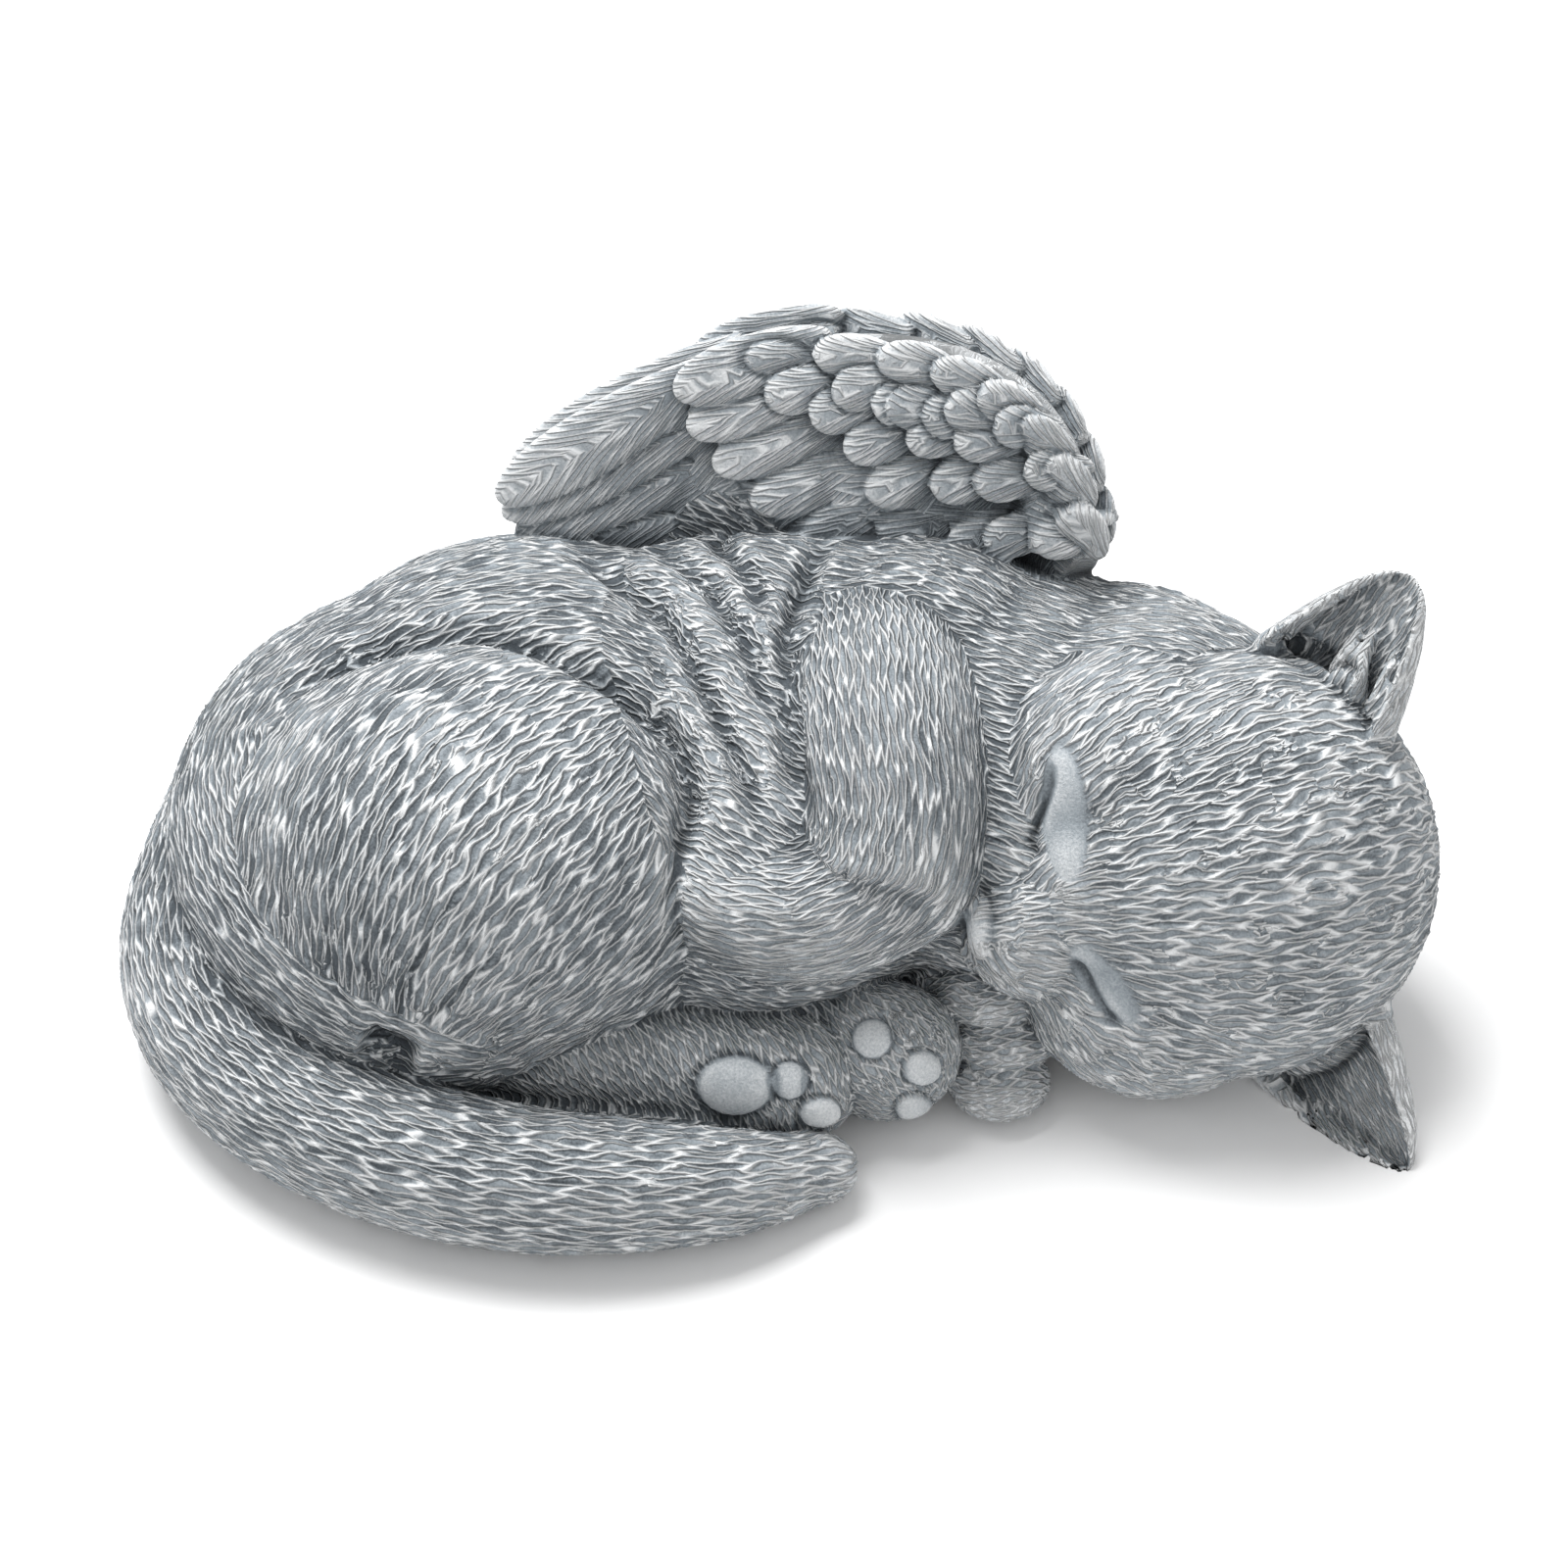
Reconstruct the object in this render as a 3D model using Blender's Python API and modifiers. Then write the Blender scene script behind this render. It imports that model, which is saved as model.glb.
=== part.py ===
"""A winged kitten asleep, curled up on its side, cast in one piece of artificial stone with a flat underside.

+X points from the rump to the crown of the head, +Y from the curled tail to the back, and +Z up; the
underside is z = 0. The pose and the carving are laid out on the figure's own grid, one two-hundredth of
its length, so they follow LENGTH. First the rounded masses are fused like clay and smoothed, then the skin
folds are pressed in, then the crisp parts (limbs, ears, feathers, paw pads, nose) are fused on, and last the
underside is cut flat.
"""

import math

import bmesh
import bpy
import numpy as np
from mathutils import Matrix, Vector

LENGTH = 0.200  # from the rump to the ears
GRID = LENGTH / 200  # one step of the grid that the pose is laid out on

CLAY_CELL = 1.5 * GRID  # cell of the first fusing of the rounded masses
CARVING_CELL = 0.75 * GRID  # cell of the second fusing, fine enough for the feathers
CLAY_PASSES = 6  # smoothing passes over the fused masses
CARVING_PASSES = 2
BALL_FACETS = (32, 20)  # segments and rings of a rounded mass before fusing
FEATHER_FACETS = (20, 12)
EAR_FACETS = (40, 28)
TUBE_FACETS = (5, 6)  # steps round a quarter of a limb and along each of its spans
FACET_COUNT = 9600  # triangles of the finished figure, before its underside is cut

EAR_WALL = 2.6 * GRID  # thickness of an ear's rim
FEATHER_THICKNESS = 4.4 * GRID
FEATHER_LIFT = 1.1 * GRID  # a feather's tip above the core of the wing
FEATHER_SINK = 1.7 * GRID  # its root below the core's surface
FEATHER_MIDDLE_WIDTH = 0.84  # share of a feather's width at its middle
FEATHER_FLARE = 0.26  # how much wider it gets towards its tip
FOLD_DEPTH = 2.6 * GRID
FOLD_WIDTH = 1.7 * GRID
FOLD_FADE = 0.2  # share of a fold's length over which it runs out at each end
EYELID_DEPTH = 1.6 * GRID
EYELID_WIDTH = 1.0 * GRID
PAD_RISE = 2.4 * GRID  # half-thickness of a paw pad, about half of it above the sole

SIGHT_TILT = math.radians(50)  # folds and eyelids are drawn on the carving plane, tilted this far back
SIGHT_UP = Vector((0, math.sin(SIGHT_TILT), math.cos(SIGHT_TILT)))
SIGHT_OUT = Vector((0, -math.cos(SIGHT_TILT), math.sin(SIGHT_TILT)))

STONE_COLOUR = (0.36, 0.39, 0.42, 1.0)  # slate grey casting, brushed with chalky white
STONE_ROUGHNESS = 0.85

# The rounded masses: centre and half-axes on the grid
BODY_MASSES = {
    "rump": ((-54.5, 57, 26), (43, 45, 31)),
    "loin": ((-40, 64, 28), (44, 46, 32)),
    "thigh": ((-48, 47, 33), (39, 33, 33)),
    "ribs": ((-8, 66, 28), (42, 42, 31)),
    "belly": ((-14, 55, 18), (30, 25, 20)),
    "back": ((4, 84, 38), (48, 20, 20)),
    "chest": ((32, 68, 29), (34, 37, 29)),
    "shoulder": ((20, 80, 43), (24, 20, 17)),
    "neck": ((56, 64, 36), (27, 25, 24)),
    "nape": ((50, 74, 30), (28, 24, 24)),
    "throat": ((36, 50, 16), (18, 20, 16)),
    "bed": ((-4, 61, 4), (60, 35, 16)),
    "head_bed": ((64, 53, 4), (27, 24, 14)),
    "foot_bed": ((-28, 14, 3), (32, 14, 10)),
    "tail_bed": ((-62, 22, 4), (30, 16, 9)),
}

# Limbs and tail: a smooth line through (x, y, z, radius) stations on the grid. The soft ones are smoothed
# with the body; the others keep a sharp crease where they lie on it.
SOFT_LIMBS = {
    "upper_arm": (
        (12, 80, 42, 12),
        (13, 67, 52, 14.5),
        (14, 52, 52.5, 15),
        (15.5, 41, 47.5, 14),
        (13, 34, 42, 12.5),
    ),
}
LIMBS = {
    "tail": (
        (-84, 70, 22, 12),
        (-92.5, 50, 16.5, 13),
        (-90.5, 31, 13, 12.8),
        (-78.5, 16, 12, 12.2),
        (-60, 5.6, 11.2, 11.8),
        (-42, 0.8, 11, 11.2),
        (-22.5, 0.3, 10, 10.2),
        (-6, 3.0, 8, 7.9),
        (3, 6.8, 6, 5.6),
    ),
    "forearm": (
        (17, 39, 42, 13),
        (9, 34, 39, 12.2),
        (0, 32.8, 37.5, 11.4),
        (-8, 34, 38, 10.3),
        (-11, 35, 38.5, 9.6),
    ),
    "hind_foot": (
        (-54, 30, 18, 12),
        (-40, 26.5, 15.5, 10.8),
        (-24, 23.5, 13.5, 9.6),
        (-9, 22, 12.5, 9.4),
        (1, 21, 12, 9.6),
    ),
    "far_hind_foot": (
        (-10, 34, 12, 10),
        (6, 30, 12, 10),
        (12, 27, 11.5, 10),
    ),
    "far_arm": (
        (24, 46, 16, 11),
        (27, 38, 13, 9),
        (29, 32, 11, 8),
    ),
}

# Rounded ends of the limbs
LIMB_ENDS = {
    "tail_tip": ((2.5, 7, 6), (7.5, 6, 5.8)),
    "elbow": ((16.5, 38.5, 41.5), (12.8, 12.5, 12.5)),
    "paw": ((-10.5, 35, 38.5), (9.5, 10.2, 10)),
    "hind_paw": ((2.5, 21, 11.5), (8, 9.3, 10)),
}

# Paws and toes that keep a sharp edge between them
TOES = {
    "far_hind_paw": ((14, 25.5, 12), (12, 10, 12)),
    "toe_1": ((30.5, 33.5, 17.5), (8.5, 7, 5.6)),
    "toe_2": ((33, 30, 10.8), (8.5, 7, 5.2)),
    "toe_3": ((32, 25, 5), (8, 7, 5)),
}

# Paw pads: centre on the grid, then half-width and half-height
PADS = {
    "sole_pad": ((-8.8, 13.6, 16.9), (6.0, 4.4)),
    "toe_pad_1": ((-0.4, 14.5, 18.3), (2.9, 2.9)),
    "toe_pad_2": ((4.3, 12.0, 15.0), (3.1, 2.3)),
    "far_toe_pad_1": ((12.2, 21.2, 21.6), (3.2, 3.2)),
    "far_toe_pad_2": ((19.9, 18.6, 17.0), (3.1, 2.7)),
    "far_toe_pad_3": ((18.7, 16.5, 9.3), (3.1, 2.5)),
}

# The head lies on its cheek: its own axes are crown, cheek to cheek, and brow (out of the face)
HEAD_CENTRE = (65.5, 46.2, 31.8)
HEAD_CROWN = (0.995, 0.081, -0.058)
HEAD_CHEEK = (0.0, 0.584, 0.812)
HEAD_MASSES = {
    "skull": ((2, 0, 0), (32.5, 33.5, 26)),
    "near_cheek": ((-9, -16, 0), (22, 20.5, 19)),
    "far_cheek": ((-13, 15, -2), (23, 19, 20)),
    "brow": ((-16, 0, 8), (15, 20, 12)),
    "muzzle": ((-29, -7, 5), (11.5, 12, 11)),
    "chin": ((-27, -8, -3), (10, 9, 9)),
}
NOSE = ((-38.5, -5.5, 12), (2.2, 5.2, 3.0))
EAR_BASE = (16, 27, 2)  # middle of an ear's base, mirrored for the lower ear
EAR_TIP = (28, 47.5, 12)
EAR_HALF_WIDTH = 14
EAR_HALF_THICKNESS = 8
EAR_HOLLOW_SHIFT = 5.7  # how far the hollow is set towards the ear's opening
EAR_HOLLOW_WALL = 0.6  # wall left in the ear's thickness, as a share of EAR_WALL
EAR_OPENING = (-0.6, 0.1, 0.75)  # the way an ear's hollow faces, in the head's axes

# The wings: own axes are root, up across the feathers, and out of the feathered face
WING_CENTRE = (0.2, 105.3, 63.7)
WING_ROOTWARD = (0.981, -0.12, 0.153)
WING_UP = (-0.078, 0.478, 0.871)
WING_FOOT = -17  # where both wings spring from the back, below the wing's centre
FAR_WING_TURN = math.radians(-113)  # the hidden wing folds down over the back
WING_ARCH = (  # the leading edge, from the root over the top to the tip: root-tip, up, radius
    (38.5, -17, 6),
    (41, -8, 6),
    (36.5, 3, 5.6),
    (27, 10, 5.4),
    (14, 12.5, 5.4),
    (-2, 11, 5.2),
    (-17, 5.2, 4.8),
    (-32, -2.6, 4.0),
    (-41, -8.8, 3.2),
)
WING_WEB = (((9, -6, 0), (33, 15, 5.5)), ((-16, -7, -0.5), (30, 9, 3.6)))
WING_SPAN = 46  # half-length of a wing
CORE_HEIGHT_ROOT = 6.0  # the core's face above the wing's middle plane, at the root and at the tip
CORE_HEIGHT_TIP = 3.4
CORE_ROLL = 0.11  # how much the face rolls forward for each step up, at the root
CORE_ROLL_FROM = -4  # where the roll starts, on the up axis

# Rows of feathers: tips (first, middle, last), angles below the tipward direction, lengths, widths, count
FEATHER_ROWS = {
    "primaries": (((-47, -7), (-46, -11.5), (-42, -16)), (30, 12), (46, 40), (11.5, 9), 4),
    "greater": (((-17, 10.5), (-12, -2), (1, -15)), (20, 20), (27, 21), (10.5, 9.5), 5),
    "median": (((-2.5, 9.5), (9, 0.5), (13, -16)), (12, 22), (14, 13), (8.4, 8.4), 5),
    "lesser": (((8, 10.5), (19, 2), (24, -16.5)), (8, 18), (13, 12), (8.2, 8.2), 5),
    "least": (((16, 8.5), (26.5, 2.2), (30, -15)), (-10, 10), (12.5, 11), (8.6, 7.8), 5),
    "marginal": (((26, 9), (35.5, 2), (37.5, -15)), (-25, 5), (12, 11), (8.4, 7.8), 4),
    "edge": (((-6, 15.5), (28, 13), (43.5, -9)), (6, -66), (14, 11), (7.6, 8.4), 8),
}
BACK_ROWS = ("primaries", "greater", "lesser", "edge")

# Skin folds between thigh and shoulder, on the carving plane (across, up), and each one's share of the depth
FOLDS = {
    "thigh_edge": (
        (
            (-82, 78), (-73, 86), (-62, 90.5), (-50, 92.5), (-38.7, 90), (-27.3, 84.2),
            (-18.7, 76), (-15.5, 67), (-16.4, 58.5), (-18.7, 47),
        ),
        1.4,
    ),
    "fold_1": (((-36, 106), (-28.8, 102), (-19.7, 94.2), (-12.2, 80.6), (-7, 69.2), (-4.3, 59.8)), 1.0),
    "fold_2": (((-25.4, 107.8), (-14, 100.5), (-7.2, 90.2), (-4.9, 84.5), (-2, 77.2)), 0.8),
    "fold_3": (((-14.6, 109.2), (-10.6, 105.6), (-6.6, 100.5), (-3.7, 94.2)), 0.7),
    "arm_edge": (((5.4, 108), (2.5, 101.5), (-0.6, 93), (-1, 82), (0, 71), (3, 62)), 0.9),
}
FOLD_FACING = 0.15  # folds are pressed only where the skin faces the carving plane at least this much

# Closed eyelids, on the carving plane
EYELIDS = (
    ((39.2, 72.4), (38.6, 67.2), (37, 62.2), (36.4, 59.2), (37.8, 57)),
    ((41.8, 41.6), (44.2, 39.4), (46.2, 35.8), (48.2, 32.8), (50.6, 31)),
)


def grid(values):
    """Grid values as a vector in metres."""
    return Vector(values) * GRID


def frame(centre, first, second):
    """A placing matrix: origin at centre (metres), x along first, y towards second, z out of both."""
    x_axis = Vector(first).normalized()
    z_axis = x_axis.cross(Vector(second)).normalized()
    y_axis = z_axis.cross(x_axis)
    placing = Matrix((x_axis, y_axis, z_axis)).transposed().to_4x4()
    placing.translation = centre
    return placing


HEAD = frame(grid(HEAD_CENTRE), HEAD_CROWN, HEAD_CHEEK)
NEAR_WING = frame(grid(WING_CENTRE), WING_ROOTWARD, WING_UP)
FAR_WING = (
    NEAR_WING
    @ Matrix.Translation(grid((0, WING_FOOT, 0)))
    @ Matrix.Rotation(FAR_WING_TURN, 4, "X")
    @ Matrix.Translation(grid((0, -WING_FOOT, 0)))
)


def add_modifier(thing, name, kind, **settings):
    """Adds a modifier with its settings."""
    modifier = thing.modifiers.new(name, kind)
    for setting, value in settings.items():
        setattr(modifier, setting, value)
    return modifier


def evaluated_mesh(thing):
    """The object's mesh with its modifiers carried out."""
    bpy.context.view_layer.update()
    return bpy.data.meshes.new_from_object(thing.evaluated_get(bpy.context.evaluated_depsgraph_get()))


def vectors_of(items, name):
    """One vector property of every item as rows of an array."""
    values = np.empty(len(items) * 3)
    items.foreach_get(name, values)
    return values.reshape(-1, 3)


def unit_ball(segments, rings):
    """A ball of radius 1 as a mesh."""
    ball = bmesh.new()
    bmesh.ops.create_uvsphere(ball, u_segments=segments, v_segments=rings, radius=1)
    mesh = bpy.data.meshes.new("Ball")
    ball.to_mesh(mesh)
    ball.free()
    return mesh


def add_ball(clay, centre, half_axes, placing=Matrix.Identity(4), turn=Matrix.Identity(4)):
    """Adds an ellipsoid. Centre and half-axes are in metres, in the axes of placing."""
    mesh = unit_ball(*BALL_FACETS)
    mesh.transform(placing @ Matrix.Translation(centre) @ turn @ Matrix.Diagonal((*half_axes, 1)))
    clay.from_mesh(mesh)
    bpy.data.meshes.remove(mesh)


def add_tube(clay, stations, placing=Matrix.Identity(4)):
    """Adds a round tube of changing radius along a smooth curve over (point, radius) stations, in metres."""
    curve = bpy.data.curves.new("Tube", "CURVE")
    curve.dimensions = "3D"
    curve.bevel_depth = 1.0
    curve.bevel_resolution, curve.resolution_u = TUBE_FACETS
    curve.use_fill_caps = True
    spline = curve.splines.new("NURBS")
    spline.points.add(len(stations) - 1)
    for control, (point, radius) in zip(spline.points, stations):
        control.co = (*(placing @ Vector(point)), 1)
        control.radius = radius
    spline.order_u = 3
    spline.use_endpoint_u = True
    tube = bpy.data.objects.new("Tube", curve)
    bpy.context.scene.collection.objects.link(tube)
    mesh = evaluated_mesh(tube)
    skin = bmesh.new()
    skin.from_mesh(mesh)
    bmesh.ops.remove_doubles(skin, verts=skin.verts, dist=GRID / 1000)
    skin.to_mesh(mesh)
    skin.free()
    clay.from_mesh(mesh)
    bpy.data.objects.remove(tube)
    bpy.data.curves.remove(curve)
    bpy.data.meshes.remove(mesh)


def add_limbs(clay, limbs):
    """Adds each limb's tube."""
    for stations in limbs.values():
        add_tube(clay, [(grid(station[:3]), station[3] * GRID) for station in stations])


def fused(clay, cell, passes):
    """The outer skin of all shapes in clay as one mesh: a voxel remesh, then smoothing passes."""
    mesh = bpy.data.meshes.new("Clay")
    clay.to_mesh(mesh)
    clay.free()
    lump = bpy.data.objects.new("Clay", mesh)
    bpy.context.scene.collection.objects.link(lump)
    add_modifier(lump, "Fuse", "REMESH", mode="VOXEL", voxel_size=cell, adaptivity=0.0)
    add_modifier(lump, "Smooth", "SMOOTH", factor=0.5, iterations=passes)
    skin = evaluated_mesh(lump)
    bpy.data.objects.remove(lump)
    bpy.data.meshes.remove(mesh)
    return skin


def outer_shell(mesh):
    """Keeps only the largest connected surface, so no sealed void stays inside."""
    skin = bmesh.new()
    skin.from_mesh(mesh)
    unseen = set(skin.verts)
    shells = []
    while unseen:
        start = unseen.pop()
        shell = [start]
        for vertex in shell:
            for edge in vertex.link_edges:
                neighbour = edge.other_vert(vertex)
                if neighbour in unseen:
                    unseen.remove(neighbour)
                    shell.append(neighbour)
        shells.append(shell)
    shells.sort(key=len)
    for shell in shells[:-1]:
        bmesh.ops.delete(skin, geom=shell, context="VERTS")
    skin.to_mesh(mesh)
    skin.free()


def smooth_line(points, steps=12):
    """A Catmull-Rom curve through the points, as an array of steps points for each span."""
    knots = np.array(points, float)
    ends = np.vstack((2 * knots[0] - knots[1], knots, 2 * knots[-1] - knots[-2]))
    t = np.linspace(0, 1, steps, endpoint=False)[:, None]
    spans = []
    for a, b, c, d in zip(ends, ends[1:], ends[2:], ends[3:]):
        bend = 2 * b + (c - a) * t + (2 * a - 5 * b + 4 * c - d) * t**2 + (3 * b - a - 3 * c + d) * t**3
        spans.append(bend / 2)
    return np.vstack((*spans, knots[-1:]))


def press_line(mesh, line, depth, width):
    """Presses a groove into the skin along a line drawn on the carving plane: each vertex sinks along its
    normal by depth * exp(-(distance / width)^2), measured on that plane, and less near the line's ends."""
    points = vectors_of(mesh.vertices, "co")
    normals = vectors_of(mesh.vertex_normals, "vector")
    path = smooth_line(line) * GRID
    on_plane = np.column_stack((points[:, 0], points @ np.array(SIGHT_UP)))
    reach = 4 * width
    near = (on_plane > path.min(0) - reach).all(1) & (on_plane < path.max(0) + reach).all(1)
    near &= normals @ np.array(SIGHT_OUT) > FOLD_FACING
    gaps = np.linalg.norm(on_plane[near][:, None] - path, axis=2)
    share = gaps.argmin(1) / (len(path) - 1)
    fade = np.clip(np.minimum(share, 1 - share) / FOLD_FADE, 0, 1)
    groove = depth * fade * np.exp(-((gaps.min(1) / width) ** 2))
    points[near] -= normals[near] * groove[:, None]
    mesh.vertices.foreach_set("co", points.ravel())
    mesh.update()


def body_clay():
    """The rounded masses and the head, fused and smoothed, with the skin folds pressed in."""
    clay = bmesh.new()
    for centre, half_axes in BODY_MASSES.values():
        add_ball(clay, grid(centre), grid(half_axes))
    for centre, half_axes in HEAD_MASSES.values():
        add_ball(clay, grid(centre), grid(half_axes), HEAD)
    add_limbs(clay, SOFT_LIMBS)
    mesh = fused(clay, CLAY_CELL, CLAY_PASSES)
    for line, share in FOLDS.values():
        press_line(mesh, line, FOLD_DEPTH * share, FOLD_WIDTH)
    return mesh


def along_row(ends, share):
    """The value at a share of the way along a row, on the parabola through its three values."""
    first, middle, last = (np.array(value, float) for value in ends)
    t = share
    return first * (1 - t) * (1 - 2 * t) + middle * 4 * t * (1 - t) + last * t * (2 * t - 1)


def core_height(across, up):
    """Height of the wing core's face above the wing's middle plane: it thins to the tip and rolls forward
    towards the leading edge."""
    tipward = min(max((WING_SPAN - across) / (2 * WING_SPAN), 0), 1)
    height = CORE_HEIGHT_ROOT + (CORE_HEIGHT_TIP - CORE_HEIGHT_ROOT) * tipward
    return height + (1 - tipward) * CORE_ROLL * (up - CORE_ROLL_FROM)


def add_feather(clay, placing, tip, angle, length, width, face):
    """A flat, round-tipped feather: a squashed ball that narrows to its root. Sizes are grid values; face is
    1 for the feathered face and -1 for the back."""
    direction = Vector((-math.cos(angle), -math.sin(angle), 0))
    root = Vector((*tip, 0)) - direction * length
    tip_height = core_height(*tip) * GRID + FEATHER_LIFT
    root_height = core_height(root.x, root.y) * GRID - FEATHER_SINK
    tip_point = Vector((tip[0] * GRID, tip[1] * GRID, face * tip_height))
    root_point = Vector((root.x * GRID, root.y * GRID, face * root_height))
    lie = frame((tip_point + root_point) / 2, tip_point - root_point, direction.cross(Vector((0, 0, -1))))
    half_axes = Vector((length * GRID, width * GRID, FEATHER_THICKNESS)) / 2
    mesh = unit_ball(*FEATHER_FACETS)
    for vertex in mesh.vertices:
        vertex.co.y *= FEATHER_MIDDLE_WIDTH + FEATHER_FLARE * vertex.co.x
    mesh.transform(placing @ lie @ Matrix.Diagonal((*half_axes, 1)))
    clay.from_mesh(mesh)
    bpy.data.meshes.remove(mesh)


def add_row(clay, placing, row, face):
    """One row of feathers along its curve of tips."""
    tips, angles, lengths, widths, count = row
    for number in range(count):
        share = number / (count - 1)
        angle = math.radians(angles[0] + (angles[1] - angles[0]) * share)
        length = lengths[0] + (lengths[1] - lengths[0]) * share
        width = widths[0] + (widths[1] - widths[0]) * share
        add_feather(clay, placing, tuple(along_row(tips, share)), angle, length, width, face)


def add_wing_core(clay, placing):
    """The thick leading edge and the web behind it, which carry the feathers."""
    stations = [((u * GRID, v * GRID, 0), radius * GRID) for u, v, radius in WING_ARCH]
    add_tube(clay, stations, placing)
    for centre, half_axes in WING_WEB:
        add_ball(clay, grid(centre), grid(half_axes), placing)


def add_wings(clay):
    """Both wings: the upright one feathered on both faces, the folded one on the face that shows."""
    for placing in (NEAR_WING, FAR_WING):
        add_wing_core(clay, placing)
        for row in FEATHER_ROWS.values():
            add_row(clay, placing, row, 1)
    for name in BACK_ROWS:
        add_row(clay, NEAR_WING, FEATHER_ROWS[name], -1)


def ear_mesh(side):
    """A cupped ear: a round-tipped cone, squashed flat, hollowed by a smaller one set towards its opening."""
    mirror = Vector((1, side, 1))
    base = grid(Vector(EAR_BASE) * mirror)
    tip = grid(Vector(EAR_TIP) * mirror)
    axis = tip - base
    length = axis.length
    opening = Vector(EAR_OPENING) * mirror
    lie = frame(base, axis, opening.cross(axis))
    solids = []
    for wall, shift in ((0, 0), (EAR_WALL, EAR_HOLLOW_SHIFT * GRID)):
        mesh = unit_ball(*EAR_FACETS)
        for vertex in mesh.vertices:
            along = vertex.co.z
            ring = math.hypot(vertex.co.x, vertex.co.y)
            taper = math.sqrt(1 - along) / ring if along > 0 and ring > 1e-6 else 1.0
            across = vertex.co.x * taper * (EAR_HALF_WIDTH * GRID - wall)
            out = vertex.co.y * taper * (EAR_HALF_THICKNESS * GRID - wall * EAR_HOLLOW_WALL)
            vertex.co = (along * (length - wall), across, out + shift)
        mesh.transform(HEAD @ lie)
        solid = bpy.data.objects.new("Ear", mesh)
        bpy.context.scene.collection.objects.link(solid)
        solids.append(solid)
    ear, hollow = solids
    add_modifier(ear, "Hollow", "BOOLEAN", operation="DIFFERENCE", object=hollow)
    made = evaluated_mesh(ear)
    for solid in solids:
        bpy.data.objects.remove(solid)
    return made


def add_pads(clay):
    """Smooth pads on the soles, facing the carving plane."""
    lie = frame(Vector(), (1, 0, 0), SIGHT_UP)
    for centre, (half_width, half_height) in PADS.values():
        half_axes = Vector((half_width * GRID, half_height * GRID, PAD_RISE))
        add_ball(clay, grid(centre), half_axes, turn=lie)


def ground_cutter(collection):
    """The block that cuts the underside flat."""
    block = bmesh.new()
    bmesh.ops.create_cube(block, size=1)
    mesh = bpy.data.meshes.new("Ground")
    block.to_mesh(mesh)
    block.free()
    cutter = bpy.data.objects.new("Ground", mesh)
    side = 2 * LENGTH
    cutter.scale = (side, side, side)
    cutter.location = (0, 0, -side / 2)
    cutter.hide_render = True
    cutter.display_type = "WIRE"
    collection.objects.link(cutter)
    return cutter


def stone():
    """Cast stone: a dull grey with a chalky finish."""
    material = bpy.data.materials.new("Cast stone")
    material.use_nodes = True
    shader = material.node_tree.nodes["Principled BSDF"]
    shader.inputs["Base Color"].default_value = STONE_COLOUR
    shader.inputs["Roughness"].default_value = STONE_ROUGHNESS
    shader.inputs["Metallic"].default_value = 0.0
    return material


def centred(mesh):
    """Moves the mesh so that the middle of its box above the ground is at x = y = 0."""
    points = vectors_of(mesh.vertices, "co")
    shown = points[points[:, 2] > 0]
    middle = (shown.min(0) + shown.max(0)) / 2
    mesh.transform(Matrix.Translation((-middle[0], -middle[1], 0)))


def figure_mesh():
    """The whole figure: smoothed body, crisp parts, eyelids and a simplified surface."""
    clay = bmesh.new()
    clay.from_mesh(body_clay())
    for side in (1, -1):
        clay.from_mesh(ear_mesh(side))
    add_ball(clay, grid(NOSE[0]), grid(NOSE[1]), HEAD)
    add_limbs(clay, LIMBS)
    for centre, half_axes in (*LIMB_ENDS.values(), *TOES.values()):
        add_ball(clay, grid(centre), grid(half_axes))
    add_pads(clay)
    add_wings(clay)
    mesh = fused(clay, CARVING_CELL, CARVING_PASSES)
    for line in EYELIDS:
        press_line(mesh, line, EYELID_DEPTH, EYELID_WIDTH)
    outer_shell(mesh)
    return mesh


def main():
    for thing in list(bpy.data.objects):
        bpy.data.objects.remove(thing)
    parts = bpy.data.collections.new("Winged kitten")
    cutters = bpy.data.collections.new("Cutters")
    bpy.context.scene.collection.children.link(parts)
    bpy.context.scene.collection.children.link(cutters)

    mesh = figure_mesh()
    centred(mesh)
    kitten = bpy.data.objects.new("winged_kitten", mesh)
    parts.objects.link(kitten)
    share = FACET_COUNT / (2 * len(mesh.polygons))
    add_modifier(kitten, "Facets", "DECIMATE", decimate_type="COLLAPSE", ratio=share)
    add_modifier(kitten, "Underside", "BOOLEAN", operation="DIFFERENCE", object=ground_cutter(cutters))
    mesh.materials.clear()
    mesh.materials.append(stone())


main()
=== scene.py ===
# %% [markdown]
# # A sleeping winged kitten, cast in stone
#
# The real object is one casting of slate-grey artificial stone, dry-brushed with chalky white. A kitten sleeps
# curled up, its tail round its paws, with an angel's wings folded on its back. The lesson builds it the way a
# modeller would: rounded masses first, then the crisp parts, then thousands of strokes of fur, and last the paint.

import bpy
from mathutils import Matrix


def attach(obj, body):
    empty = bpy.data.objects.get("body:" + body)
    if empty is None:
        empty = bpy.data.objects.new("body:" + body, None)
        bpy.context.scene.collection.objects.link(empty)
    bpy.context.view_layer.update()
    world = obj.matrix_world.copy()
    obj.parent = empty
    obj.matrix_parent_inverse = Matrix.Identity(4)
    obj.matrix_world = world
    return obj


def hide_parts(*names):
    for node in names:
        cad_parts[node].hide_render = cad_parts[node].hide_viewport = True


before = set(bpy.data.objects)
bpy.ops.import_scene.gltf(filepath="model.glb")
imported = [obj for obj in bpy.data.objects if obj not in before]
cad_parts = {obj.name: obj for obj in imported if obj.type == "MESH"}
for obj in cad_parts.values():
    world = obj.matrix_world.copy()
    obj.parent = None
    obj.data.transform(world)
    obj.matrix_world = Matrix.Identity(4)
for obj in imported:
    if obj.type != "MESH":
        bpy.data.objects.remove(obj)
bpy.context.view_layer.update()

import math

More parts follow.
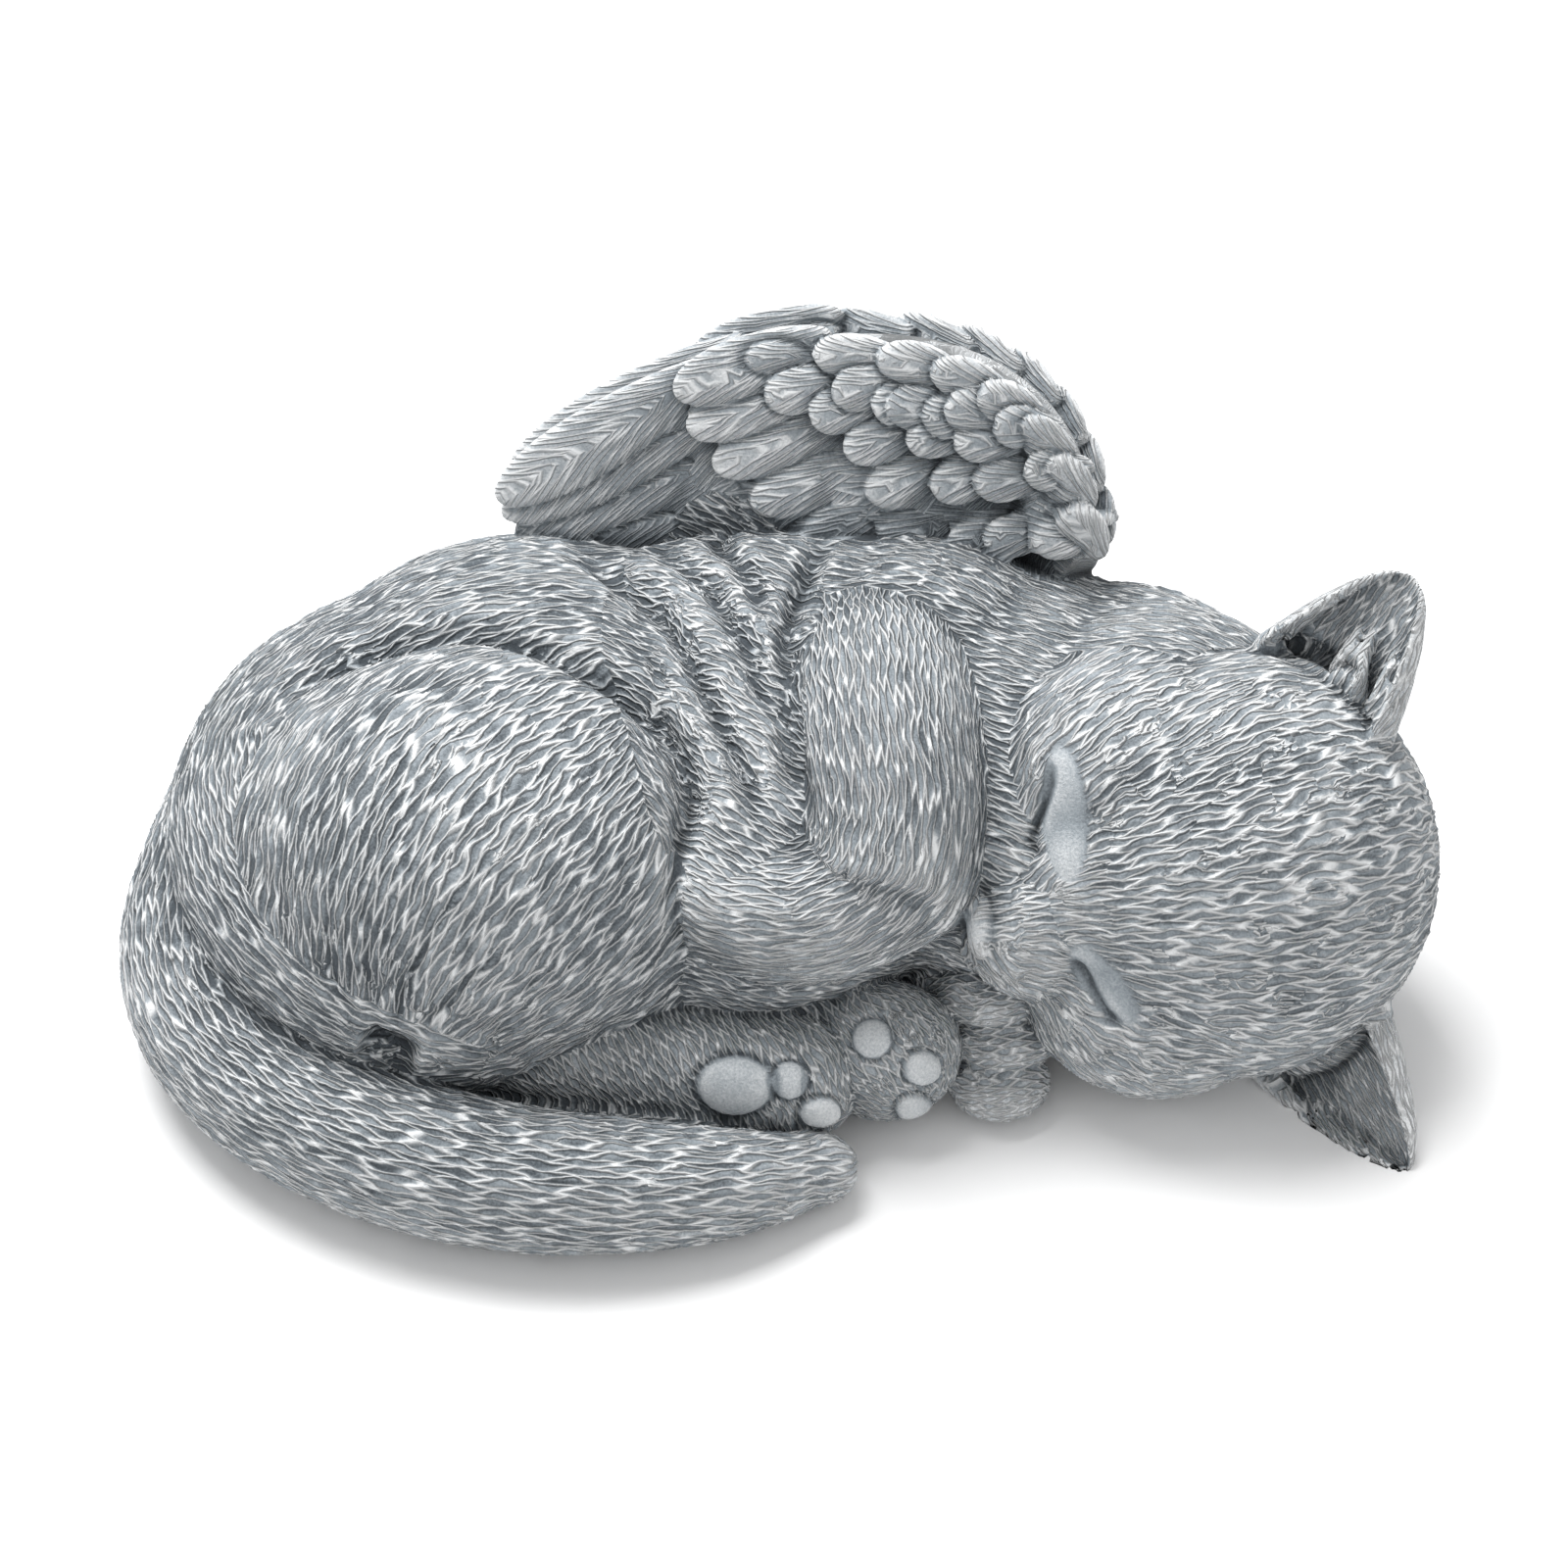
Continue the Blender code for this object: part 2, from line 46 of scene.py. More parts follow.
import bpy
import numpy as np

MM = 0.001

# %% [markdown]
# ## Working out surfaces with numpy
#
# Every form starts as rings of points: a ball is rings round its axis, a limb is a circle carried along a line.
# The points are worked out as whole arrays, in millimetres, and one helper closes any stack of rings into a skin.


# %% Closing rings into a skin
def ring_skin(rings):
    """A closed skin over rings of points: quads between neighbouring rings, and a fan of triangles from the
    middle of the first and of the last ring."""
    count, around = rings.shape[:2]
    points = np.vstack((rings[0].mean(0), rings.reshape(-1, 3), rings[-1].mean(0)))
    ring, step = np.meshgrid(np.arange(count - 1), np.arange(around), indexing="ij")
    a = 1 + ring * around + step
    b = 1 + ring * around + (step + 1) % around
    quads = np.stack((a, b, b + around, a + around), -1).reshape(-1, 4)
    here = np.arange(around)
    after = (here + 1) % around
    last = 1 + (count - 1) * around
    first_fan = np.stack((0 * here, 1 + after, 1 + here), -1)
    last_fan = np.stack((0 * here + len(points) - 1, last + here, last + after), -1)
    return points, quads.tolist() + first_fan.tolist() + last_fan.tolist()


def placing(centre, first, second):
    """Own axes of a part: its centre, and rows for x along first, y towards second and z out of both."""
    x = np.array(first, float) / np.linalg.norm(first)
    z = np.cross(x, second)
    z /= np.linalg.norm(z)
    return np.array(centre, float), np.stack((x, np.cross(z, x), z))


def to_world(points, place):
    """Points given in a part's own axes, in the axes of the whole figure."""
    centre, axes = place
    return centre + points @ axes


def to_own(points, place):
    """Points of the whole figure, in a part's own axes."""
    centre, axes = place
    return (points - centre) @ axes.T


WORLD = (np.zeros(3), np.eye(3))


def ball(centre, half_axes, place=WORLD, rows=24, around=36):
    """An ellipsoid. Ring by ring, x = a cos t, y = b sin t cos f, z = c sin t sin f."""
    t, f = np.meshgrid(
        (np.arange(rows) + 0.5) * math.pi / rows, np.arange(around) * 2 * math.pi / around, indexing="ij"
    )
    unit = np.stack((np.cos(t), np.sin(t) * np.cos(f), np.sin(t) * np.sin(f)), -1)
    rings = np.array(centre) + unit * np.array(half_axes)
    return ring_skin(to_world(rings.reshape(-1, 3), place).reshape(rows, around, 3))


print("a ball has", len(ball((0, 0, 0), (1, 1, 1))[0]), "points")


# %% Carrying a circle along a line
def bent_line(stations, steps=14):
    """A smooth line drawn towards its stations: each span is a parabola from the middle of one leg to the middle
    of the next, p = (1 - t)^2 a + 2 t (1 - t) b + t^2 c. Columns are x, y, z and radius."""
    knots = np.array(stations, float)
    middles = (knots[1:-2] + knots[2:-1]) / 2
    starts = np.vstack((knots[:1], middles))[:, None]
    ends = np.vstack((middles, knots[-1:]))[:, None]
    corners = knots[1:-1][:, None]
    t = np.linspace(0, 1, steps, endpoint=False)[None, :, None]
    spans = (1 - t) ** 2 * starts + 2 * t * (1 - t) * corners + t**2 * ends
    return np.vstack((spans.reshape(-1, knots.shape[1]), knots[-1:]))


def unit_rows(vectors):
    """Each row brought to length 1."""
    return vectors / np.maximum(np.linalg.norm(vectors, axis=-1, keepdims=True), 1e-9)


def line_axes(line):
    """Directions along a line, to its side and up out of it, with up kept near z."""
    ahead = unit_rows(np.gradient(line[:, :3], axis=0))
    side = unit_rows(np.cross(ahead, (0, 0, 1)))
    return ahead, side, np.cross(side, ahead)


def tube(stations, place=WORLD, around=32):
    """A limb: the circle r (side cos f + up sin f) carried along the bent line."""
    line = bent_line(stations)
    _, side, up = line_axes(line)
    f = (np.arange(around) * 2 * math.pi / around)[None, :, None]
    rings = line[:, None, :3] + line[:, None, 3:] * (side[:, None] * np.cos(f) + up[:, None] * np.sin(f))
    return ring_skin(to_world(rings.reshape(-1, 3), place).reshape(rings.shape))


# %% [markdown]
# ## The rounded masses
#
# A curled-up cat is a few soft masses pressed together: rump, thigh, ribs, chest, neck and a big round skull. On a
# real model they are lumps of clay whose joins are rubbed smooth. Here a voxel remesh fuses the overlapping
# ellipsoids into one skin and smoothing rounds the joins, which no hand-placed net of faces does as simply.

# %% Body masses: centre and half-axes in mm
BODY = {
    "rump": ((-54.5, 57, 26), (43, 45, 31)),
    "loin": ((-40, 64, 28), (44, 46, 32)),
    "ribs": ((-8, 66, 28), (42, 42, 31)),
    "belly": ((-14, 55, 18), (30, 25, 20)),
    "back": ((4, 84, 38), (48, 20, 20)),
    "chest": ((32, 68, 29), (34, 37, 29)),
    "neck": ((56, 64, 36), (27, 25, 24)),
    "nape": ((50, 74, 30), (28, 24, 24)),
    "throat": ((36, 50, 16), (18, 20, 16)),
    "bed": ((-4, 61, 4), (60, 35, 16)),
    "head_bed": ((64, 53, 4), (27, 24, 14)),
    "tail_bed": ((-62, 22, 4), (30, 16, 9)),
}
THIGH = ((-48, 47, 33), (39, 33, 33))
SHOULDER = ((20, 80, 43), (24, 20, 17))
FOOT_BED = ((-28, 14, 3), (32, 14, 10))

HEAD = placing((65.5, 46.2, 31.8), (0.995, 0.081, -0.058), (0.0, 0.584, 0.812))  # crown, cheek, brow
SKULL = {
    "skull": ((2, 0, 0), (32.5, 33.5, 26)),
    "near_cheek": ((-9, -16, 0), (22, 20.5, 19)),
    "far_cheek": ((-13, 15, -2), (23, 19, 20)),
    "brow": ((-16, 0, 8), (15, 20, 12)),
    "muzzle": ((-29, -7, 5), (11.5, 12, 11)),
    "chin": ((-27, -8, -3), (10, 9, 9)),
}
print(len(BODY) + len(SKULL) + 3, "masses")

# %% Limbs: stations of x, y, z and radius in mm
UPPER_ARM = ((12, 80, 42, 12), (13, 67, 52, 14.5), (14, 52, 52.5, 15), (15.5, 41, 47.5, 14), (13, 34, 42, 12.5))
FOREARM = ((17, 39, 42, 13), (9, 34, 39, 12.2), (0, 32.8, 37.5, 11.4), (-8, 34, 38, 10.3), (-11, 35, 38.5, 9.6))
TAIL = (
    (-84, 70, 22, 12), (-92.5, 50, 16.5, 13), (-90.5, 31, 13, 12.8), (-78.5, 16, 12, 12.2), (-60, 5.6, 11.2, 11.8),
    (-42, 0.8, 11, 11.2), (-22.5, 0.3, 10, 10.2), (-6, 3.0, 8, 7.9), (3, 6.8, 6, 5.6),
)
HIND_FOOT = ((-54, 30, 18, 12), (-40, 26.5, 15.5, 10.8), (-24, 23.5, 13.5, 9.6), (-9, 22, 12.5, 9.4), (1, 21, 12, 9.6))
FAR_HIND_FOOT = ((-10, 34, 12, 10), (6, 30, 12, 10), (12, 27, 11.5, 10))
FAR_ARM = ((24, 46, 16, 11), (27, 38, 13, 9), (29, 32, 11, 8))

ELBOW = ((16.5, 38.5, 41.5), (12.8, 12.5, 12.5))
ENDS = {
    "tail_tip": ((2.5, 7, 6), (7.5, 6, 5.8)),
    "paw": ((-10.5, 35, 38.5), (9.5, 10.2, 10)),
    "hind_paw": ((2.5, 21, 11.5), (8, 9.3, 10)),
    "far_hind_paw": ((14, 25.5, 12), (12, 10, 12)),
    "toe_1": ((30.5, 33.5, 17.5), (8.5, 7, 5.6)),
    "toe_2": ((33, 30, 10.8), (8.5, 7, 5.2)),
    "toe_3": ((32, 25, 5), (8, 7, 5)),
}
print("the tail is", round(float(np.linalg.norm(np.diff(bent_line(TAIL)[:, :3], axis=0), axis=1).sum())), "mm long")


# %% Fusing skins like clay
def put_mesh(name, points, faces):
    """A mesh object from points in metres and lists of corners."""
    mesh = bpy.data.meshes.new(name)
    mesh.from_pydata(points.tolist(), [], faces)
    thing = bpy.data.objects.new(name, mesh)
    bpy.context.scene.collection.objects.link(thing)
    return thing


def finished_mesh(thing):
    """The mesh with all modifiers carried out; the object it came from is removed."""
    bpy.context.view_layer.update()
    mesh = bpy.data.meshes.new_from_object(thing.evaluated_get(bpy.context.evaluated_depsgraph_get()))
    bpy.data.objects.remove(thing)
    return mesh


def read_points(items, name):
    """One vector property of every item, as rows."""
    values = np.empty(len(items) * 3, np.float32)
    items.foreach_get(name, values)
    return values.reshape(-1, 3).astype(float)


def fuse(skins, cell, passes):
    """All skins as one: they are put in one mesh, remeshed in cells of that many mm and rubbed smooth."""
    starts = np.cumsum([0] + [len(points) for points, _ in skins[:-1]])
    points = np.vstack([points for points, _ in skins]) * MM
    faces = [[corner + int(start) for corner in face] for start, (_, own) in zip(starts, skins) for face in own]
    clay = put_mesh("clay", points, faces)
    remesh = clay.modifiers.new("fuse", "REMESH")
    remesh.mode = "VOXEL"
    remesh.voxel_size = cell * MM
    rub = clay.modifiers.new("rub", "SMOOTH")
    rub.factor = 0.5
    rub.iterations = passes
    mesh = finished_mesh(clay)
    print("fused", len(skins), "skins into", len(mesh.vertices), "points")
    return mesh


soft_skins = [ball(*mass) for mass in (*BODY.values(), THIGH, SHOULDER, FOOT_BED)]
soft_skins += [ball(*mass, HEAD) for mass in SKULL.values()] + [tube(UPPER_ARM), tube(FOREARM), ball(*ELBOW)]
BODY_CELL, BODY_RUBS = 1.0, 14  # mm, and passes of smoothing
body = fuse(soft_skins, BODY_CELL, BODY_RUBS)

# %% [markdown]
# ## Pressing folds into the skin
#
# Folds, the edge of the thigh and the closed eyes are drawn as lines on a plane that faces the viewer, as a
# carver draws on the block. Each point of the skin near a line sinks along its normal, by a bell-shaped groove.

# %% The carving plane and its lines
TILT = math.radians(50)
PLANE_UP = np.array((0, math.sin(TILT), math.cos(TILT)))
PLANE_OUT = np.array((0, -math.cos(TILT), math.sin(TILT)))


def on_plane(points):
    """Where points lie on the carving plane: x across, and how far up."""
    return np.stack((points[:, 0], points @ PLANE_UP), 1)


def smooth_line(knots, steps=14):
    """A Catmull-Rom line through its knots."""
    knots = np.array(knots, float)
    ends = np.vstack((2 * knots[0] - knots[1], knots, 2 * knots[-1] - knots[-2]))
    a, b, c, d = (ends[i : len(ends) - 3 + i, None] for i in range(4))
    t = np.linspace(0, 1, steps, endpoint=False)[None, :, None]
    spans = (2 * b + (c - a) * t + (2 * a - 5 * b + 4 * c - d) * t**2 + (3 * b - a - 3 * c + d) * t**3) / 2
    return np.vstack((spans.reshape(-1, 2), knots[-1:]))


def press(points, normals, knots, depth, width, fade=0.2):
    """Sinks points along a line by depth * exp(-(gap / width)^2), less towards its ends. All in mm."""
    line = smooth_line(knots)
    flat = on_plane(points)
    reach = 4 * width
    near = (flat > line.min(0) - reach).all(1) & (flat < line.max(0) + reach).all(1)
    near = np.flatnonzero(near & (normals @ PLANE_OUT > 0.15))
    gaps = np.linalg.norm(flat[near][:, None] - line, axis=2)
    share = gaps.argmin(1) / (len(line) - 1)
    groove = depth * np.clip(np.minimum(share, 1 - share) / fade, 0, 1) * np.exp(-((gaps.min(1) / width) ** 2))
    points[near] -= normals[near] * groove[:, None]


FOLDS = {  # knots on the plane, and depth
    "thigh_edge": (((-82, 78), (-73, 86), (-62, 90.5), (-50, 92.5), (-38.7, 90), (-27.3, 84.2), (-18.7, 76),
                    (-15.5, 67), (-16.4, 58.5), (-18.7, 47)), 4.6),
    "fold_1": (((-36, 106), (-28.8, 102), (-19.7, 94.2), (-12.2, 80.6), (-7, 69.2), (-4.3, 59.8)), 3.4),
    "fold_2": (((-25.4, 107.8), (-14, 100.5), (-7.2, 90.2), (-4.9, 84.5), (-2, 77.2)), 3.0),
    "fold_3": (((-14.6, 109.2), (-10.6, 105.6), (-6.6, 100.5), (-3.7, 94.2)), 2.6),
    "arm_edge": (((5.4, 108), (2.5, 101.5), (-0.6, 93), (-1, 82), (0, 71), (3, 62)), 3.0),
    "pit_fold_1": (((-62.5, 29), (-64, 35), (-64.5, 42), (-63.5, 49)), 1.3),
    "pit_fold_2": (((-61, 29), (-59.5, 35), (-56.5, 42), (-52, 50)), 1.6),
    "pit_fold_3": (((-59, 28.5), (-54, 34), (-48, 39.5), (-40, 45)), 1.3),
    "pit_fold_4": (((-64.5, 29.5), (-68.5, 35), (-71, 42), (-72, 48)), 1.1),
    "thigh_dimple": (((-74, 80), (-66, 83.5), (-57, 84), (-49, 83)), 0.9),
}
PIT = (((-66.5, 29.5), (-62, 27.6), (-57.5, 25.5)), 4.5)
PIT_WIDTH = 2.4
skin = read_points(body.vertices, "co") / MM
skin_normals = read_points(body.vertex_normals, "vector")
for name, (knots, depth) in FOLDS.items():
    width, fade = (1.1, 0.5) if "pit" in name else (1.7, 0.2)
    press(skin, skin_normals, knots, depth, width, fade)
press(skin, skin_normals, *PIT, PIT_WIDTH)
body_skin = (skin, [list(face.vertices) for face in body.polygons])
print(len(FOLDS), "folds pressed")

# %% [markdown]
# ## Ears
#
# A cat's ear is a thin cup that stands on the skull. Its cross-section is an open arc with two faces, and the arc
# shrinks to the rounded tip, so one closed loop carried from base to tip gives the whole ear with its wall.


# %% Two cupped ears
def ear_place(side):
    """An ear's own axes: x from base to tip, y across, z out of the cup."""
    base = np.array((16, 27 * side, 2.0))
    tip = np.array((28, 47.5 * side, 12.0))
    opening = np.array((-0.6, 0.1 * side, 0.75))
    centre, axes = placing(base, tip - base, np.cross(opening, tip - base))
    return to_world(centre, HEAD), axes @ HEAD[1]


EAR_LENGTH, EAR_HALF_WIDTH, EAR_DEPTH = 25.8, 14.0, 8.0


def ear(side, half_width=EAR_HALF_WIDTH, depth=EAR_DEPTH, wall=2.6, rows=26, across=20):
    """The loop of an ear: outside (w sin f, -d cos f), inside a flatter arc less the wall, f within 120 degrees
    each way. It is scaled by sqrt(1 - t) from base (t = 0) to tip (t = 1)."""
    f = np.radians(np.linspace(-120, 120, across))
    outside = np.stack((half_width * np.sin(f), -depth * np.cos(f)), 1)
    inside = np.stack(((half_width - wall) * np.sin(f), -0.4 * (depth - wall) * np.cos(f)), 1)[::-1]
    loop = np.vstack((outside, inside))
    t = np.concatenate(([-0.3, -0.12], 1 - np.linspace(1, 0.03, rows) ** 1.6))
    size = np.sqrt(np.clip(1 - np.maximum(t, 0), 0, 1))
    rings = np.empty((len(t), len(loop), 3))
    rings[..., 0] = t[:, None] * EAR_LENGTH
    rings[..., 1:] = loop[None] * size[:, None, None]
    return ring_skin(to_world(rings.reshape(-1, 3), ear_place(side)).reshape(rings.shape))


ears = [ear(1), ear(-1)]
ears += [ball((-3, 0, -2.2), (8.5, 13.4, 5.6), ear_place(side)) for side in (1, -1)]
TUFTS = (  # locks of hair in the hollow of the upper ear
    ((1, -8, -1.5, 1.2), (6, -7.5, 0.4, 1.3), (11, -6, 0.2, 1.0), (15, -4, -1.5, 0.4)),
    ((1, -5, -1.5, 1.6), (6, -3.5, 0.9, 1.7), (10, -1.5, 0.9, 1.3), (14, 0.5, -1.2, 0.5)),
    ((0, -1, -1.5, 1.6), (5, 0, 1.1, 1.8), (9, 1, 0.9, 1.3), (12.5, 2.5, -1, 0.5)),
)
ears += [tube(tuft, ear_place(1), 16) for tuft in TUFTS]
print("ear points:", len(ears[0][0]))

# %% [markdown]
# ## The wings
#
# The near wing stands on the back like a closed fan: a thick leading edge, and rows of overlapping feathers with
# round tips, long at the tip of the wing and small as scales at its root. The far wing is the same one folded down.
# Each feather is a flat ball that narrows to its root, tipped up so that every row casts a shadow on the next.

# %% Wing core: leading edge and web
NEAR_WING = placing((0.2, 105.3, 63.7), (0.981, -0.12, 0.153), (-0.078, 0.478, 0.871))
WING_FOOT = -17.0
FOLD_DOWN = math.radians(-113)


def folded_down(place):
    """The far wing's axes: the near wing turned about its foot, down over the back."""
    centre, axes = place
    cos, sin = math.cos(FOLD_DOWN), math.sin(FOLD_DOWN)
    turn = np.array(((1, 0, 0), (0, cos, sin), (0, -sin, cos)))
    foot = np.array((0, WING_FOOT, 0.0))
    return centre + (foot - foot @ turn) @ axes, turn @ axes


FAR_WING = folded_down(NEAR_WING)
ARCH = (
    (38.5, -17, 0, 6), (41, -8, 0, 6), (36.5, 3, 0, 5.6), (27, 10, 0, 5.4), (14, 12.5, 0, 5.4), (-2, 11, 0, 5.2),
    (-17, 5.2, 0, 4.8), (-32, -2.6, 0, 4.0), (-41, -8.8, 0, 3.2),
)
WEB = (((9, -6, 0), (33, 15, 5.5)), ((-16, -7, -0.5), (30, 9, 3.6)))
WING_SPAN = 46.0


def core_height(across, up):
    """How far the wing's face stands off its middle plane: it thins to the tip and rolls forward at the top."""
    tipward = np.clip((WING_SPAN - across) / (2 * WING_SPAN), 0, 1)
    return 6.0 - 2.6 * tipward + (1 - tipward) * 0.11 * (up + 4)


wing_skins = [tube(ARCH, place) for place in (NEAR_WING, FAR_WING)]
wing_skins += [ball(*web, place) for place in (NEAR_WING, FAR_WING) for web in WEB]
print("wing core:", len(wing_skins), "skins")

# %% Feathers in rows: tips (first, middle, last), angles, lengths, widths, count
ROWS = {
    "primaries": (((-47, -7), (-46, -11.5), (-42, -16)), (30, 12), (46, 40), (11.5, 9), 4),
    "greater": (((-17, 10.5), (-12, -2), (1, -15)), (20, 20), (27, 21), (10.5, 9.5), 5),
    "median": (((-2.5, 9.5), (9, 0.5), (13, -16)), (12, 22), (14, 13), (8.4, 8.4), 5),
    "lesser": (((8, 10.5), (19, 2), (24, -16.5)), (8, 18), (13, 12), (8.2, 8.2), 5),
    "least": (((16, 8.5), (26.5, 2.2), (30, -15)), (-10, 10), (12.5, 11), (8.6, 7.8), 5),
    "marginal": (((26, 9), (35.5, 2), (37.5, -15)), (-25, 5), (12, 11), (8.4, 7.8), 4),
    "edge": (((-6, 15.5), (28, 13), (43.5, -9)), (6, -66), (14, 11), (7.6, 8.4), 8),
}
THICKNESS = 2.6


def feather_places(row, place, face, lift=1.7, step=0.0):
    """Own axes and half-axes of a row of feathers: x runs from root to tip, z out of the wing. The tips stand
    lift mm off the core, each one step mm lower than the one before."""
    tips, angles, lengths, widths, count = row
    t = np.linspace(0, 1, count)[:, None]
    a, b, c = (np.array(tip, float) for tip in tips)
    tip = a * (1 - t) * (1 - 2 * t) + b * 4 * t * (1 - t) + c * t * (2 * t - 1)
    angle = np.radians(angles[0] + (angles[1] - angles[0]) * t[:, 0])
    length = lengths[0] + (lengths[1] - lengths[0]) * t[:, 0]
    width = widths[0] + (widths[1] - widths[0]) * t[:, 0]
    direction = -np.stack((np.cos(angle), np.sin(angle)), 1)
    root = tip - direction * length[:, None]
    sunk = np.arange(count) * step
    high = np.column_stack((tip, face * (core_height(*tip.T) + lift - sunk)))
    low = np.column_stack((root, face * (core_height(*root.T) - 1.7 - sunk)))
    places = []
    for start, end, long, wide in zip(low, high, length, width):
        flat = np.cross((0, 0, face), end - start)
        centre, axes = placing((start + end) / 2, end - start, flat)
        places.append(((to_world(centre, place), axes @ place[1]), np.array((long, wide, THICKNESS)) / 2))
    return places


def feather(place, half_axes):
    """A slab with a rounded edge and a narrow root: on the unit ball, z becomes its square root, and y is
    multiplied by 0.9 + 0.22 x, x from -1 at the root to 1 at the tip."""
    points, faces = ball((0, 0, 0), (1, 1, 1), rows=20, around=32)
    points[:, 1] *= 0.9 + 0.22 * points[:, 0]
    points[:, 2] = np.sign(points[:, 2]) * np.sqrt(np.abs(points[:, 2]))
    return to_world(points * half_axes, place), faces


LIE = {"edge": (0.9, 0.0), "primaries": (2.2, 0.9), "greater": (2.0, 0.25)}  # lift and step of a row
BACKED = ("primaries", "greater", "lesser", "edge")  # the rows that also cover the back of the near wing
feathers = []
for name, row in ROWS.items():
    lie = LIE.get(name, (1.7, 0.1))
    feathers += feather_places(row, NEAR_WING, 1, *lie) + feather_places(row, FAR_WING, 1, *lie)
    if name in BACKED:
        feathers += feather_places(row, NEAR_WING, -1, *lie)
wing_skins += [feather(*one) for one in feathers]
print(len(feathers), "feathers")

# %% [markdown]
# ## One skin for the whole figure
#
# The smoothed body and the crisp parts are fused once more in finer cells. Limbs, toes and feathers keep the sharp
# crease where they lie against their neighbours.

# %% Fusing everything
wrist = ((15, 39, 37, 5), (9, 35.5, 38, 10.2), *FOREARM[2:])
limbs = [tube(stations) for stations in (TAIL, wrist, HIND_FOOT, FAR_HIND_FOOT, FAR_ARM)]
limbs += [ball(*end) for end in ENDS.values()]
nose = ball((-38.3, -5.5, 12), (2.0, 5.2, 3.0), HEAD)
CARVING_CELL, CARVING_RUBS = 0.5, 2
ground_level = np.array((-np.inf, -np.inf, 0))
crisp_skins = (body_skin, nose, *ears, *limbs, *wing_skins)
crisp = [(np.maximum(own, ground_level), own_faces) for own, own_faces in crisp_skins]
whole = fuse(crisp, CARVING_CELL, CARVING_RUBS)
points = read_points(whole.vertices, "co") / MM
normals = read_points(whole.vertex_normals, "vector")

# %% [markdown]
# ## Pads and closed eyes
#
# The paw pads are smooth domes in a shallow moat, and the lids are smooth almonds under a slit. Both are stamped
# on the carving plane, and both stay free of fur, so one list of ovals gives the shape and the bare skin.

# %% Ovals: centre on the plane, half-axes, rise, moat, turn in degrees
OVALS = (
    ((-8.8, 22.1), (5.8, 4.5), 1.7, 0.7, 0),
    ((-0.5, 22.9), (2.8, 2.9), 1.4, 0.6, 0),
    ((4.2, 18.0), (3.2, 2.4), 1.2, 0.6, 0),
    ((12.2, 29.3), (3.0, 3.0), 1.2, 0.5, 0),
    ((19.9, 24.7), (2.9, 2.7), 1.2, 0.5, 0),
    ((18.7, 18.4), (2.9, 2.2), 1.1, 0.5, 0),
    ((41.4, 63.8), (3.4, 10.2), 0.45, 0.0, 4),
    ((47.6, 37.6), (2.9, 7.4), 0.4, 0.0, 40),
)
NOSE_SPOT = to_world(np.array((-39.0, -5.5, 12.0)), HEAD)


def oval_gap(points, centre, half, turn):
    """Distance from an oval's centre as a share of its size, with the oval turned on the carving plane."""
    flat = on_plane(points) - np.array(centre)
    cos, sin = math.cos(math.radians(turn)), math.sin(math.radians(turn))
    return np.hypot((flat[:, 0] * cos + flat[:, 1] * sin) / half[0], (flat[:, 1] * cos - flat[:, 0] * sin) / half[1])


def bareness(points, normals):
    """1 on pads, lids and nose, 0 on fur."""
    bare = np.clip((4.0 - np.linalg.norm(points - NOSE_SPOT, axis=1)) / 1.5, 0, 1)
    facing = np.clip(normals @ PLANE_OUT * 4, 0, 1)
    for centre, half, _, _, turn in OVALS:
        bare = np.maximum(bare, np.clip((1.12 - oval_gap(points, centre, half, turn)) * 8, 0, 1) * facing)
    return bare


for centre, half, rise, moat, turn in OVALS:
    e = oval_gap(points, centre, half, turn)
    facing = np.clip(normals @ PLANE_OUT * 4, 0, 1)
    lift = rise * np.sqrt(np.clip(1 - e**2, 0, 1)) - moat * np.exp(-(((e - 1.12) / 0.12) ** 2))
    points += normals * (lift * facing)[:, None]
EYELIDS = (
    ((39.2, 72.4), (38.6, 67.2), (37, 62.2), (36.4, 59.2), (37.8, 57)),
    ((41.8, 41.6), (44.2, 39.4), (46.2, 35.8), (48.2, 32.8), (50.6, 31)),
)
SLIT_DEPTH, SLIT_WIDTH = 1.6, 0.9
for line in EYELIDS:
    press(points, normals, line, SLIT_DEPTH, SLIT_WIDTH)
EAR_PIT = ((74.5, 90), (78.5, 89.2), (82.5, 87.6), (86.5, 84.5))
EAR_PIT_DEPTH, EAR_PIT_WIDTH = 2.6, 1.5
press(points, normals, EAR_PIT, EAR_PIT_DEPTH, EAR_PIT_WIDTH)
print(len(OVALS), "ovals stamped")

# %% [markdown]
# ## Which way the fur lies
#
# Fur is hundreds of short strokes that follow the form: round the thigh, along the tail, out from the nose. Each
# zone of the body has its own rule for the direction of a stroke. A point belongs to the zone whose form is
# nearest, and the rule's direction is laid flat on the skin there.


# %% Zones: the forms they follow, and the length and width of their strokes in mm
def oval_distance(points, centre, half, place=WORLD):
    """About the distance to an ellipsoid: k0 (k0 - 1) / k1, with k0 = |q / h| and k1 = |q / h^2|."""
    own = to_own(points, place) - np.array(centre)
    k0 = np.linalg.norm(own / np.array(half), axis=1)
    k1 = np.linalg.norm(own / np.array(half, float) ** 2, axis=1)
    return k0 * (k0 - 1) / np.maximum(k1, 1e-6)


def nearest_station(points, line, block=40000):
    """Distance to a line of x, y, z, radius rows, and the index of its nearest row."""
    gaps, rows = np.empty(len(points)), np.empty(len(points), int)
    for start in range(0, len(points), block):
        part = points[start : start + block]
        apart = np.linalg.norm(part[:, None] - line[None, :, :3], axis=2) - line[:, 3]
        rows[start : start + block] = apart.argmin(1)
        gaps[start : start + block] = apart.min(1)
    return gaps, rows


